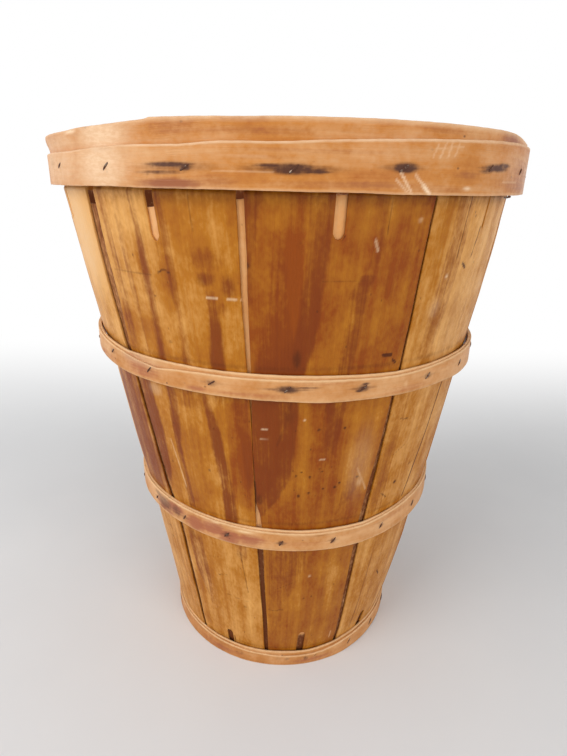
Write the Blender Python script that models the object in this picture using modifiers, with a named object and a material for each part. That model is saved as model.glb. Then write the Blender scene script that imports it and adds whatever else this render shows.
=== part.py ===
"""Apple basket: a tall tapered farm basket of thin wooden staves, held by hoops and wire staples.

Units are metres, +Z is up, and the origin is the middle of the base on the floor.
Angles run from the front of the basket (the -Y side), positive towards +X.

The wall is two layers of ten wide, tapered staves. The outer staves are slotted at both ends,
so that a flat sheet takes the round shape, and the inner staves cover their joints.
Two long hoops are wound twice round the wall, a third closes the base, and three hoops make the rim.
Every ring and every stave has its corners at the same angles, so nested layers lie flat on each other.
"""
import math

import bmesh
import bpy
from mathutils import Matrix, Vector

# Staves
STAVE_COUNT = 10
FACETS_PER_STAVE = 6
FRONT_TURN = math.radians(9.0)          # the first stave's middle, turned from the front
STAVE_THICKNESS = 0.0020
INNER_STAVE_THICKNESS = 0.0020
STAVE_GAP_AT_RIM = 0.0040
STAVE_GAP_AT_BASE = 0.0060
STAVE_BELOW_TOP = 0.006                 # the staves' ends, below the basket's top
INNER_STAVE_BELOW_RIM = 0.006           # the inner staves' ends, below the rim hoops
INNER_STAVE_TURN = 2                    # facets from an outer joint to the inner joint behind it
TOP_SLOT_WIDTH = 0.0080
TOP_SLOT_SHOWN = 0.026                  # length of the slot seen below the rim
BASE_SLOT_WIDTH = 0.0060
BASE_SLOT_SHOWN = 0.020                 # length of the slot seen above the base hoop
SLOT_ARC_STEPS = 6

# Wall, measured to the outer face of the outer staves
BASKET_HEIGHT = 0.528
BASE_RADIUS = 0.1255
RIM_RADIUS = 0.2146                     # where the rim hoops grip the staves
RIM_FLARE = 0.0067                      # from the straight wall's upper end out to the rim
GRIP_BELOW_TOP = 0.021
FLARE_STEPS = 4

# Rim hoops
RIM_PLY = 0.0023
RIM_DEPTH = 0.042                       # from the basket's top to the lower edge of the rim
BROAD_HOOP_WIDTH = 0.040
OUTER_RIM_NARROW_WIDTH = 0.0255         # the outer rim hoop is a strip that widens along its length
OUTER_RIM_WIDE_WIDTH = 0.0340
OUTER_RIM_WIDENS_FROM = math.radians(-60.0)
OUTER_RIM_WIDENS_TO = math.radians(45.0)
INNER_RIM_BELOW_TOP = 0.004
INNER_RIM_WIDTH = 0.036
BUTT_GAP = 0.002

# Hoops round the wall and the base
HOOP_PLY = 0.0018
HOOP_LEAN = 0.05                        # how much a hoop's radius grows per metre of height
UPPER_HOOP_MIDDLE = 0.3462
UPPER_HOOP_WIDTH = 0.0215
LOWER_HOOP_MIDDLE = 0.1875
LOWER_HOOP_WIDTH = 0.0235
BASE_HOOP_WIDTH = 0.0195
BASE_HOOP_ABOVE_FLOOR = 0.0004          # the staves and the board stand on the floor, not the hoop
RAMP_FACETS = 2                         # length of the step where a hoop climbs onto itself
RIM_LAP_FACETS = 3
UPPER_LAP_STAVE = 5                     # the stave at whose middle a hoop's inner end starts
LOWER_LAP_STAVE = 4
BASE_LAP_STAVE = 6

# Base board
BOARD_THICKNESS = 0.012

# Wire staples
STAPLE_CROWN = 0.0070
STAPLE_WIRE = 0.0011
STAPLE_LEG = 0.0010                     # how far a leg reaches below the crown
STAPLE_BITE = 0.0003                    # how deep a crown is driven into a wall hoop
STAPLE_SLANT = math.radians(35.0)
STAPLES_PER_STAVE = 2
RIM_STAPLE_BELOW_TOP = 0.028

# Clearance between pieces that touch
TOUCH = 0.0003
POCKET_CLEARANCE = 0.0003

# Modelling
CUTTER_MARGIN = 0.02                    # how far a cutter reaches past what it cuts
MERGE_DISTANCE = 0.00001
SLOPE_STEP = 0.0001
SHARP_ANGLE = math.radians(30.0)

# Worked out from the sizes above
FACET_COUNT = STAVE_COUNT * FACETS_PER_STAVE
FACET = math.tau / FACET_COUNT
STAVE_PITCH = math.tau / STAVE_COUNT
GRIP_HEIGHT = BASKET_HEIGHT - GRIP_BELOW_TOP
STAVE_TOP = BASKET_HEIGHT - STAVE_BELOW_TOP
RIM_BOTTOM = BASKET_HEIGHT - RIM_DEPTH
SHOULDER_HEIGHT = RIM_BOTTOM            # the wall runs straight up to the rim hoops
BASE_HOOP_TOP = BASE_HOOP_ABOVE_FLOOR + BASE_HOOP_WIDTH
SHOULDER_RADIUS = RIM_RADIUS - RIM_FLARE
WALL_SLOPE = (SHOULDER_RADIUS - BASE_RADIUS) / SHOULDER_HEIGHT
INNER_LAYER_DEPTH = STAVE_THICKNESS + TOUCH
BOARD_DEPTH = INNER_LAYER_DEPTH + INNER_STAVE_THICKNESS + TOUCH


def clear_scene():
    for item in list(bpy.data.objects):
        bpy.data.objects.remove(item, do_unlink=True)


def new_collection(name):
    collection = bpy.data.collections.new(name)
    bpy.context.scene.collection.children.link(collection)
    return collection


def wood(name, colour, roughness):
    material = bpy.data.materials.new(name)
    material.use_nodes = True
    shader = material.node_tree.nodes["Principled BSDF"]
    shader.inputs["Base Color"].default_value = (*colour, 1.0)
    shader.inputs["Roughness"].default_value = roughness
    shader.inputs["Metallic"].default_value = 0.0
    return material


def wire(name, colour, roughness):
    material = wood(name, colour, roughness)
    material.node_tree.nodes["Principled BSDF"].inputs["Metallic"].default_value = 1.0
    return material


def wall_radius(height):
    """Radius of the wall's outer face: a straight taper, then a flare that ends upright."""
    if height <= SHOULDER_HEIGHT:
        return BASE_RADIUS + WALL_SLOPE * height
    if height >= GRIP_HEIGHT:
        return RIM_RADIUS
    run = GRIP_HEIGHT - SHOULDER_HEIGHT
    t = (height - SHOULDER_HEIGHT) / run
    start = (2 * t**3 - 3 * t**2 + 1) * SHOULDER_RADIUS
    start_slope = (t**3 - 2 * t**2 + t) * run * WALL_SLOPE
    end = (3 * t**2 - 2 * t**3) * RIM_RADIUS
    return start + start_slope + end


def wall_point(height, depth):
    """A point of the wall's section that lies depth inside the outer face, square to it."""
    rise = wall_radius(height + SLOPE_STEP) - wall_radius(height - SLOPE_STEP)
    lean = math.atan(rise / (2 * SLOPE_STEP))
    return wall_radius(height) - depth * math.cos(lean), height + depth * math.sin(lean)


def ring_point(facet, radius, height):
    """A point on a ring's flat facets, counted from the middle of the first stave."""
    angle = FRONT_TURN + facet * FACET
    along = facet - math.floor(facet)
    flat = math.cos(FACET / 2) / math.cos((along - 0.5) * FACET)
    return Vector((radius * flat * math.sin(angle), -radius * flat * math.cos(angle), height))


def facing(angle):
    """Turns a piece modelled on +X to face the given angle."""
    return Matrix.Rotation(angle - math.pi / 2, 4, "Z")


def add_object(name, mesh, collection, material=None):
    item = bpy.data.objects.new(name, mesh)
    collection.objects.link(item)
    if material is not None and not mesh.materials:
        mesh.materials.append(material)
    return item


def mesh_from_bmesh(name, shape):
    mesh = bpy.data.meshes.new(name)
    shape.to_mesh(mesh)
    shape.free()
    return mesh


def shade(mesh):
    mesh.shade_smooth()
    mesh.set_sharp_from_angle(angle=SHARP_ANGLE)


def frozen_mesh(item, name):
    """The object's mesh with its modifiers worked in. The object itself is removed."""
    graph = bpy.context.evaluated_depsgraph_get()
    mesh = bpy.data.meshes.new_from_object(item.evaluated_get(graph))
    mesh.name = name
    bpy.data.objects.remove(item, do_unlink=True)
    return mesh


def finish(item, material):
    """Works a hoop's modifiers into its mesh and shades its bends smooth."""
    name = item.name
    mesh = frozen_mesh(item, name)
    shade(mesh)
    add_object(name, mesh, basket, material)


def add_cutter(name, shape):
    item = add_object(name, mesh_from_bmesh(name, shape), cutters)
    item.hide_render = True
    item.display_type = "WIRE"
    return item


def cut(item, cutter):
    modifier = item.modifiers.new("cut", "BOOLEAN")
    modifier.operation = "DIFFERENCE"
    modifier.object = cutter


def thicken(item, thickness, side):
    """Gives an open surface its thickness: side 1 builds outwards, side -1 inwards."""
    modifier = item.modifiers.new("thickness", "SOLIDIFY")
    modifier.thickness = thickness
    modifier.offset = side
    modifier.use_even_offset = True


# Cutters for the staves


def add_joint_wedge(shape, side):
    """The tapered gap along one edge of a stave."""
    bottom = -CUTTER_MARGIN
    top = BASKET_HEIGHT + CUTTER_MARGIN
    inner = BASE_RADIUS - BOARD_DEPTH - CUTTER_MARGIN
    outer = RIM_RADIUS + CUTTER_MARGIN
    widening = (STAVE_GAP_AT_RIM - STAVE_GAP_AT_BASE) / BASKET_HEIGHT
    turn = Matrix.Rotation(side * STAVE_PITCH / 2, 4, "Z")
    corners = bmesh.ops.create_cube(shape, size=2.0)["verts"]
    for corner in corners:
        height = top if corner.co.z > 0 else bottom
        half_gap = (STAVE_GAP_AT_BASE + widening * height) / 2
        radius = outer if corner.co.x > 0 else inner
        corner.co = turn @ Vector((radius, corner.co.y * half_gap, height))


def add_slot(shape, width, closed_end, open_end):
    """A slot in the middle of a stave, round at its closed end."""
    way = 1.0 if open_end > closed_end else -1.0
    centre = closed_end + way * width / 2
    outline = [(width / 2, open_end), (-width / 2, open_end)]
    for step in range(SLOT_ARC_STEPS + 1):
        angle = math.pi * step / SLOT_ARC_STEPS
        outline.append((-math.cos(angle) * width / 2, centre - way * math.sin(angle) * width / 2))
    inner = BASE_RADIUS - BOARD_DEPTH - CUTTER_MARGIN
    outer = RIM_RADIUS + CUTTER_MARGIN
    corners = [shape.verts.new((inner, across, height)) for across, height in outline]
    face = shape.faces.new(corners)
    grown = bmesh.ops.extrude_face_region(shape, geom=[face])["geom"]
    for corner in grown:
        if isinstance(corner, bmesh.types.BMVert):
            corner.co.x = outer
    shape.normal_update()


def stave_cutter(name, slotted):
    shape = bmesh.new()
    for side in (-1, 1):
        add_joint_wedge(shape, side)
    if slotted:
        slot_foot = RIM_BOTTOM - TOP_SLOT_SHOWN
        slot_head = BASE_HOOP_TOP + BASE_SLOT_SHOWN
        add_slot(shape, TOP_SLOT_WIDTH, slot_foot, BASKET_HEIGHT + CUTTER_MARGIN)
        add_slot(shape, BASE_SLOT_WIDTH, slot_head, -CUTTER_MARGIN)
    bmesh.ops.recalc_face_normals(shape, faces=shape.faces)
    return add_cutter(name, shape)


# Staves


def stave_mesh(name, heights, depth, thickness, cutter):
    """One stave, modelled on +X: the wall's section turned through one stave's share."""
    shape = bmesh.new()
    start = Matrix.Rotation(-STAVE_PITCH / 2, 4, "Z")
    corners = []
    for height in sorted(heights, reverse=True):
        radius, level = wall_point(height, depth)
        corners.append(shape.verts.new(start @ Vector((radius, 0.0, level))))
    for upper, lower in zip(corners, corners[1:]):
        shape.edges.new((upper, lower))
    item = add_object(name, mesh_from_bmesh(name, shape), basket)
    screw = item.modifiers.new("turn", "SCREW")
    screw.axis = "Z"
    screw.angle = STAVE_PITCH
    screw.steps = FACETS_PER_STAVE
    screw.render_steps = FACETS_PER_STAVE
    screw.merge_threshold = MERGE_DISTANCE
    thicken(item, thickness, -1)
    cut(item, cutter)
    mesh = frozen_mesh(item, name)
    shade(mesh)
    return mesh


def flare_heights(top):
    """Heights of the section's corners, from the floor to the top."""
    heights = [0.0, SHOULDER_HEIGHT]
    for step in range(1, FLARE_STEPS + 1):
        heights.append(SHOULDER_HEIGHT + (GRIP_HEIGHT - SHOULDER_HEIGHT) * step / FLARE_STEPS)
    return [height for height in heights if height < top - TOUCH] + [top]


def build_staves(material, inner_material):
    outer_mesh = stave_mesh(
        "outer_stave", flare_heights(STAVE_TOP), 0.0, STAVE_THICKNESS,
        stave_cutter("stave_cutter", slotted=True))
    outer_mesh.materials.append(material)
    inner_top = RIM_BOTTOM - INNER_STAVE_BELOW_RIM
    inner_mesh = stave_mesh(
        "inner_stave", flare_heights(inner_top), INNER_LAYER_DEPTH, INNER_STAVE_THICKNESS,
        stave_cutter("inner_stave_cutter", slotted=False))
    inner_mesh.materials.append(inner_material)
    for number in range(STAVE_COUNT):
        middle = FRONT_TURN + number * STAVE_PITCH
        outer = add_object(f"outer_stave_{number + 1:02d}", outer_mesh, basket)
        outer.matrix_world = facing(middle)
        inner = add_object(f"inner_stave_{number + 1:02d}", inner_mesh, basket)
        inner.matrix_world = facing(middle + INNER_STAVE_TURN * FACET)


# Hoops


def layer_at(turned):
    """How many plies lie under a wound hoop, this many facets after its start."""
    turn = math.floor(turned / FACET_COUNT)
    left = FACET_COUNT - turned % FACET_COUNT
    return turn + max(0.0, 1.0 - left / RAMP_FACETS)


def lap_facet(stave):
    """The facet where a hoop starts, clear of the staples on either side of it."""
    return FACETS_PER_STAVE * stave + 1


def hoop_ribbon(name, stations):
    """An open band through its stations: (facet, low radius, high radius, low z, high z)."""
    shape = bmesh.new()
    pairs = []
    for facet, low_radius, high_radius, low, high in stations:
        foot = shape.verts.new(ring_point(facet, low_radius, low))
        head = shape.verts.new(ring_point(facet, high_radius, high))
        pairs.append((foot, head))
    for (foot, head), (next_foot, next_head) in zip(pairs, pairs[1:]):
        shape.faces.new((foot, next_foot, next_head, head))
    return add_object(name, mesh_from_bmesh(name, shape), basket)


def wound_hoop(name, start, turned, ply, low, low_radius, high_radius, high_at):
    """A strip wound round the basket. Each turn lies on the one before it."""
    stations = []
    for count in range(turned + 1):
        rise = layer_at(count) * (ply + TOUCH)
        facet = start + count
        high = high_at(facet)
        stations.append((facet, low_radius + rise, high_radius + rise, low, high))
    item = hoop_ribbon(name, stations)
    thicken(item, ply, 1)
    return item


def butted_hoop(name, start, ply, side, low, high, low_radius, high_radius, material):
    """A strip that goes round once. Its ends nearly meet in the middle of a facet."""
    cut_back = BUTT_GAP / 2 / (high_radius * FACET)
    ends = [start + 0.5 + cut_back, start + FACET_COUNT + 0.5 - cut_back]
    facets = [ends[0], *range(start + 1, start + FACET_COUNT + 1), ends[1]]
    stations = [(facet, low_radius, high_radius, low, high) for facet in facets]
    item = hoop_ribbon(name, stations)
    thicken(item, ply, side)
    finish(item, material)


# Staples


def staple_mesh():
    """One staple, flat in XY: the crown runs along X, and the legs point to -Y."""
    half = STAPLE_CROWN / 2
    inside = half - STAPLE_WIRE
    tip = -STAPLE_LEG
    outline = [(-half, tip), (-inside, tip), (-inside, 0.0), (inside, 0.0),
               (inside, tip), (half, tip), (half, STAPLE_WIRE), (-half, STAPLE_WIRE)]
    curve = bpy.data.curves.new("staple_outline", "CURVE")
    curve.dimensions = "2D"
    curve.fill_mode = "BOTH"
    curve.extrude = STAPLE_WIRE / 2
    spline = curve.splines.new("POLY")
    spline.points.add(len(outline) - 1)
    for point, (x, y) in zip(spline.points, outline):
        point.co = (x, y, 0.0, 1.0)
    spline.use_cyclic_u = True
    item = bpy.data.objects.new("staple_outline", curve)
    basket.objects.link(item)
    bpy.context.view_layer.update()
    mesh = frozen_mesh(item, "staple")
    shape = bmesh.new()
    shape.from_mesh(mesh)
    bmesh.ops.remove_doubles(shape, verts=shape.verts, dist=MERGE_DISTANCE)
    bmesh.ops.recalc_face_normals(shape, faces=shape.faces)
    shape.to_mesh(mesh)
    shape.free()
    return mesh


def staple_places(height, face_radius, lean, lift):
    """Where the staples sit: on flat facets, halfway between the joints and the slots."""
    spacing = FACETS_PER_STAVE / STAPLES_PER_STAVE
    places = []
    for count in range(STAVE_COUNT * STAPLES_PER_STAVE):
        facet = (count + 0.5) * spacing
        seat = Matrix.Translation(ring_point(facet, face_radius(facet), height))
        turn = Matrix.Rotation(FRONT_TURN + facet * FACET, 4, "Z")
        outwards = turn @ Matrix.Rotation(math.pi / 2 - lean, 4, "X")
        slant = Matrix.Rotation(STAPLE_SLANT, 4, "Z") @ Matrix.Rotation(math.pi / 2, 4, "X")
        places.append(seat @ outwards @ slant @ Matrix.Translation((0.0, lift, 0.0)))
    return places


def fuse_staples(hoop, name, places):
    """Staples that bite into the hoop that carries them, as one solid with it."""
    pattern = staple_mesh()
    shape = bmesh.new()
    for place in places:
        before = len(shape.verts)
        shape.from_mesh(pattern)
        shape.verts.ensure_lookup_table()
        bmesh.ops.transform(shape, matrix=place, verts=shape.verts[before:])
    bpy.data.meshes.remove(pattern)
    modifier = hoop.modifiers.new("staples", "BOOLEAN")
    modifier.operation = "UNION"
    modifier.object = add_cutter(name, shape)


def pocket_cutter(name, places):
    """The pockets that the staples' legs sit in."""
    shape = bmesh.new()
    side = STAPLE_WIRE + 2 * POCKET_CLEARANCE
    foot = -STAPLE_LEG - POCKET_CLEARANCE
    head = STAPLE_WIRE
    leg = (STAPLE_CROWN - STAPLE_WIRE) / 2
    for place in places:
        for end in (-leg, leg):
            middle = Matrix.Translation((end, (foot + head) / 2, 0.0))
            size = Matrix.Diagonal((side, head - foot, side, 1.0))
            bmesh.ops.create_cube(shape, size=1.0, matrix=place @ middle @ size)
    return add_cutter(name, shape)


def seat_staples(hoop, name, places, material):
    """Separate staples, with their legs in pockets of the hoop."""
    cut(hoop, pocket_cutter(name + "_pockets", places))
    mesh = staple_mesh()
    for number, place in enumerate(places):
        staple = add_object(f"{name}_{number + 1:02d}", mesh, basket, material)
        staple.matrix_world = place


# Pieces of the basket


def build_wall_hoop(name, stave, low, width, material):
    """A hoop wound twice round the wall. Its upper edge bears on the staves."""
    high = low + width
    high_radius = wall_radius(high) + TOUCH
    low_radius = high_radius - HOOP_LEAN * width
    start = lap_facet(stave)
    turned = 2 * FACET_COUNT - RAMP_FACETS
    hoop = wound_hoop(name, start, turned, HOOP_PLY, low, low_radius, high_radius,
                      lambda facet: high)
    lean = math.atan(HOOP_LEAN)
    middle_radius = (low_radius + high_radius) / 2
    face = middle_radius + (HOOP_PLY / math.cos(lean)) / math.cos(FACET / 2) + HOOP_PLY + TOUCH
    places = staple_places(low + width / 2, lambda facet: face, lean, -STAPLE_BITE)
    fuse_staples(hoop, name + "_staples", places)
    finish(hoop, material)


def outer_rim_top(facet):
    """The outer rim hoop widens from its left part to its right part."""
    angle = FRONT_TURN + facet * FACET - math.tau
    share = (angle - OUTER_RIM_WIDENS_FROM) / (OUTER_RIM_WIDENS_TO - OUTER_RIM_WIDENS_FROM)
    share = min(max(share, 0.0), 1.0)
    eased = share * share * (3 - 2 * share)
    return RIM_BOTTOM + OUTER_RIM_NARROW_WIDTH + (OUTER_RIM_WIDE_WIDTH - OUTER_RIM_NARROW_WIDTH) * eased


def build_rim(material, inner_material, wire_material):
    """Two hoops outside the staves and one inside them."""
    broad_radius = RIM_RADIUS + TOUCH
    broad_top = BASKET_HEIGHT
    butted_hoop("broad_rim_hoop", lap_facet(LOWER_LAP_STAVE), RIM_PLY, 1,
                broad_top - BROAD_HOOP_WIDTH, broad_top, broad_radius, broad_radius, material)

    outer_radius = broad_radius + (RIM_PLY + TOUCH) / math.cos(FACET / 2)
    start = lap_facet(UPPER_LAP_STAVE)
    turned = FACET_COUNT + RIM_LAP_FACETS
    outer = wound_hoop("outer_rim_hoop", start, turned, RIM_PLY, RIM_BOTTOM,
                       outer_radius, outer_radius, outer_rim_top)

    def outer_face(facet):
        turned_here = (facet - start) % FACET_COUNT
        lapped = 1 if turned_here < RIM_LAP_FACETS else 0
        rise = lapped * (RIM_PLY + TOUCH)
        return outer_radius + rise + RIM_PLY / math.cos(FACET / 2)

    places = staple_places(BASKET_HEIGHT - RIM_STAPLE_BELOW_TOP, outer_face, 0.0, TOUCH)
    seat_staples(outer, "rim_staple", places, wire_material)
    finish(outer, material)

    inner_top = BASKET_HEIGHT - INNER_RIM_BELOW_TOP
    inner_low = inner_top - INNER_RIM_WIDTH
    clear = (STAVE_THICKNESS + TOUCH) / math.cos(FACET / 2)
    low_clear = wall_radius(inner_low) - wall_point(inner_low, clear)[0]
    butted_hoop("inner_rim_hoop", lap_facet(BASE_LAP_STAVE), RIM_PLY, -1, inner_low, inner_top,
                wall_radius(inner_low) - low_clear - TOUCH, RIM_RADIUS - clear, inner_material)


def build_base_board(material):
    """A round board whose edge leans with the staves around it."""
    low_radius, _ = wall_point(0.0, BOARD_DEPTH)
    high_radius = low_radius + WALL_SLOPE * BOARD_THICKNESS
    shape = bmesh.new()
    bmesh.ops.create_cone(shape, cap_ends=True, segments=FACET_COUNT, radius1=low_radius,
                          radius2=high_radius, depth=BOARD_THICKNESS)
    corner = shape.verts[:][0].co
    to_corner = math.atan2(corner.y, corner.x)
    turn = Matrix.Rotation(FRONT_TURN - math.pi / 2 - to_corner, 4, "Z")
    lift = Matrix.Translation((0.0, 0.0, BOARD_THICKNESS / 2))
    bmesh.ops.transform(shape, matrix=lift @ turn, verts=shape.verts)
    item = add_object("base_board", mesh_from_bmesh("base_board", shape), basket, material)
    shade(item.data)


def build_basket():
    stave_wood = wood("stave_wood", (0.47, 0.22, 0.06), 0.5)
    inner_wood = wood("inner_wood", (0.62, 0.38, 0.17), 0.6)
    hoop_wood = wood("hoop_wood", (0.60, 0.32, 0.14), 0.55)
    rim_wood = wood("rim_wood", (0.52, 0.26, 0.10), 0.5)
    board_wood = wood("board_wood", (0.50, 0.30, 0.13), 0.65)
    staple_wire = wire("staple_wire", (0.09, 0.08, 0.08), 0.6)
    build_staves(stave_wood, inner_wood)
    build_rim(rim_wood, inner_wood, staple_wire)
    build_wall_hoop("upper_hoop", UPPER_LAP_STAVE, UPPER_HOOP_MIDDLE - UPPER_HOOP_WIDTH / 2,
                    UPPER_HOOP_WIDTH, hoop_wood)
    build_wall_hoop("lower_hoop", LOWER_LAP_STAVE, LOWER_HOOP_MIDDLE - LOWER_HOOP_WIDTH / 2,
                    LOWER_HOOP_WIDTH, hoop_wood)
    build_wall_hoop("base_hoop", BASE_LAP_STAVE, BASE_HOOP_ABOVE_FLOOR, BASE_HOOP_WIDTH, hoop_wood)
    build_base_board(board_wood)


clear_scene()
basket = new_collection("apple_basket")
cutters = new_collection("cutters")
build_basket()
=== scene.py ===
# %% [markdown]
# An apple basket of thin staves
#
# The basket is ten wide, thin staves round a board, with ten more behind their joints, tied by bent hoops
# and wire staples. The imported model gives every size. This script draws each stave and hoop again as the
# thin, worn strip of wood that it is, bends it onto the model's wall, and gives it its grain, stains and
# varnish.

# %% Load the model
import math

import bmesh
import bpy
import numpy as np
from mathutils import Matrix, Vector


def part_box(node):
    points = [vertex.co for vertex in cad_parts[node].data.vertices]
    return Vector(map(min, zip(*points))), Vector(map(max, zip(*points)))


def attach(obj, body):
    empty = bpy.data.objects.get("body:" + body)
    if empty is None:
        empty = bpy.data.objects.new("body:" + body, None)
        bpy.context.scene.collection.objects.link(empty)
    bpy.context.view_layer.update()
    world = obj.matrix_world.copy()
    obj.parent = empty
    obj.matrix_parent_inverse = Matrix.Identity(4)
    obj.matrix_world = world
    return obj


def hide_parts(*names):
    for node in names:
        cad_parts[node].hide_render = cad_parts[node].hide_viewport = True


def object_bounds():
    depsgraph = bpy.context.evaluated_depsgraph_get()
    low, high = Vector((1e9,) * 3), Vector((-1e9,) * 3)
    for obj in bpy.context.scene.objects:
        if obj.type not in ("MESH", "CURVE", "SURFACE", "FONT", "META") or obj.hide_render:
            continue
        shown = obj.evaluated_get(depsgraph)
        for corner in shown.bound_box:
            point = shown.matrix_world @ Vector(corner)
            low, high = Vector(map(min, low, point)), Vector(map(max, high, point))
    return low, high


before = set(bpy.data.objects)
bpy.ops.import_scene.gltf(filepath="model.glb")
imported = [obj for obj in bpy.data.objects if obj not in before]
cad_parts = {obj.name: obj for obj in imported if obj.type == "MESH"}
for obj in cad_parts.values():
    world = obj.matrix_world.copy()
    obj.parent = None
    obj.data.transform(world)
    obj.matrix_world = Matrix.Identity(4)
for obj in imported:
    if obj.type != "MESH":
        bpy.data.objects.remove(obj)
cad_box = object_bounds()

HEIGHT = cad_box[1].z
print(f"model: {len(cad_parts)} nodes, {HEIGHT * 1000:.1f} mm tall")

# %% [markdown]
# Sizes from the model
#
# Everything round in this basket is measured from its axis, so the useful numbers are radii at heights.
# They could be typed in again, but then a change to the model would leave the looks behind. Reading them
# from the model's own corners keeps both together.

# %% Read radii and heights
def radii(node):
    """The least and greatest distance from the axis at each height where the node has corners."""
    levels = {}
    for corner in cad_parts[node].data.vertices:
        level = round(corner.co.z, 4)
        distance = math.hypot(corner.co.x, corner.co.y)
        least, greatest = levels.get(level, (distance, distance))
        levels[level] = (min(least, distance), max(greatest, distance))
    return dict(sorted(levels.items()))


def top_of(node):
    """The height of a node's highest corner."""
    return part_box(node)[1].z


WALL = [(level, reach[1]) for level, reach in radii("outer_stave_01").items()]
RIM_RADIUS = max(radius for _, radius in WALL)
STAVE_TOP = top_of("outer_stave_01")
INNER_TOP = top_of("inner_stave_01")
STAVE_COUNT = 10
STAVE_PITCH = 360.0 / STAVE_COUNT       # degrees from one joint to the next
FIRST_STAVE = 9.0                       # degrees from the front to the middle of stave 1


def wall_radius(height):
    levels, reach = zip(*WALL)
    return np.interp(height, levels, reach)


print(f"wall: {len(WALL)} levels, radius {WALL[0][1] * 1000:.1f} to {RIM_RADIUS * 1000:.1f} mm")

# %% [markdown]
# Short ways to wire nodes
#
# Shape and finish are both node trees here. A small class that adds a node, fills its inputs and returns
# an output lets each tree read like the sum that it works out.

# %% Node helper
class Wiring:
    """Adds nodes to a tree, and joins a value or another node's output to their inputs."""

    def __init__(self, tree):
        self.tree = tree

    def feed(self, socket, value):
        if isinstance(value, bpy.types.NodeSocket):
            self.tree.links.new(value, socket)
        else:
            socket.default_value = value

    def add(self, kind, inputs=None, **settings):
        item = self.tree.nodes.new(kind)
        for key, value in settings.items():
            setattr(item, key, value)
        for key, value in (inputs or {}).items():
            self.feed(item.inputs[key], value)
        return item

    def math(self, operation, *values):
        item = self.add("ShaderNodeMath", operation=operation)
        for socket, value in zip(item.inputs, values):
            self.feed(socket, value)
        return item.outputs[0]

    def total(self, *values):
        result = values[0]
        for value in values[1:]:
            result = self.math("ADD", result, value)
        return result

    def times(self, *values):
        result = values[0]
        for value in values[1:]:
            result = self.math("MULTIPLY", result, value)
        return result

    def axes(self, vector):
        return self.add("ShaderNodeSeparateXYZ", {0: vector}).outputs

    def point(self, x=0.0, y=0.0, z=0.0):
        return self.add("ShaderNodeCombineXYZ", {"X": x, "Y": y, "Z": z}).outputs[0]

    def ramp(self, value, low, high, to_low=0.0, to_high=1.0):
        inputs = {"Value": value, "From Min": low, "From Max": high, "To Min": to_low, "To Max": to_high}
        return self.add("ShaderNodeMapRange", inputs, interpolation_type="SMOOTHSTEP").outputs[0]

    def stretch(self, vector, *scale):
        return self.add("ShaderNodeMapping", {"Vector": vector, "Scale": scale}).outputs[0]

    def noise(self, vector, detail=2.0, roughness=0.5):
        inputs = {"Vector": vector, "Scale": 1.0, "Detail": detail, "Roughness": roughness}
        return self.add("ShaderNodeTexNoise", inputs).outputs[0]

    def about_zero(self, vector, detail=2.0, roughness=0.5):
        return self.math("SUBTRACT", self.noise(vector, detail, roughness), 0.5)

    def colours(self, value, row):
        """A colour picked from a row of colours that are spread evenly from 0 to 1."""
        item = self.add("ShaderNodeValToRGB", {0: value})
        stops = item.color_ramp.elements
        stops[0].color, stops[1].color = row[0], row[-1]
        for place, colour in enumerate(row[1:-1], 1):
            stops.new(place / (len(row) - 1)).color = colour
        return item.outputs[0]

    def mix(self, factor, first, second, mode="MIX"):
        item = self.add("ShaderNodeMix", data_type="RGBA", blend_type=mode)
        self.feed(item.inputs[0], factor)
        self.feed(item.inputs[6], first)
        self.feed(item.inputs[7], second)
        return item.outputs[2]

    def curve(self, value, points):
        """A curve through (input, output) points from 0 to 1, joined by straight lines."""
        item = self.add("ShaderNodeFloatCurve", {"Value": value})
        line = item.mapping.curves[0]
        line.points[0].location = points[0]
        line.points[-1].location = points[-1]
        for point in points[1:-1]:
            line.points.new(*point)
        for point in line.points:
            point.handle_type = "VECTOR"
        item.mapping.update()
        return item.outputs[0]


print("node helper ready")

# %% [markdown]
# Short ways to run a geometry tree
#
# Each tree takes named sizes and a material, and ends in real faces, because the export drops instances.
# When a tree has done its work, its result is kept as a plain mesh, and the modifiers go.

# %% Geometry tree helpers
SHARP_EDGE = math.radians(50.0)


def geometry_tree(name, inputs):
    """A new tree with a geometry input, the named float inputs and a material, and its wiring."""
    tree = bpy.data.node_groups.new(name, "GeometryNodeTree")
    tree.interface.new_socket("Geometry", in_out="OUTPUT", socket_type="NodeSocketGeometry")
    tree.interface.new_socket("Geometry", in_out="INPUT", socket_type="NodeSocketGeometry")
    for label in inputs:
        tree.interface.new_socket(label, in_out="INPUT", socket_type="NodeSocketFloat")
    tree.interface.new_socket("Material", in_out="INPUT", socket_type="NodeSocketMaterial")
    wiring = Wiring(tree)
    return tree, wiring, wiring.add("NodeGroupInput").outputs


def close_tree(wiring, geometry, material):
    """Ends a tree in real faces with a material."""
    real = wiring.add("GeometryNodeRealizeInstances", {0: geometry}).outputs[0]
    finished = wiring.add("GeometryNodeSetMaterial", {"Geometry": real, "Material": material})
    wiring.add("NodeGroupOutput", {0: finished.outputs[0]})


def run_tree(item, tree, values):
    """Puts a tree on an object as a modifier and sets its inputs, each by its socket's identifier."""
    modifier = item.modifiers.new(tree.name, "NODES")
    modifier.node_group = tree
    for socket in tree.interface.items_tree:
        if socket.name in values:
            modifier[socket.identifier] = values[socket.name]


def linked(name, data):
    """A new object in the scene."""
    item = bpy.data.objects.new(name, data)
    bpy.context.scene.collection.objects.link(item)
    return item


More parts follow.
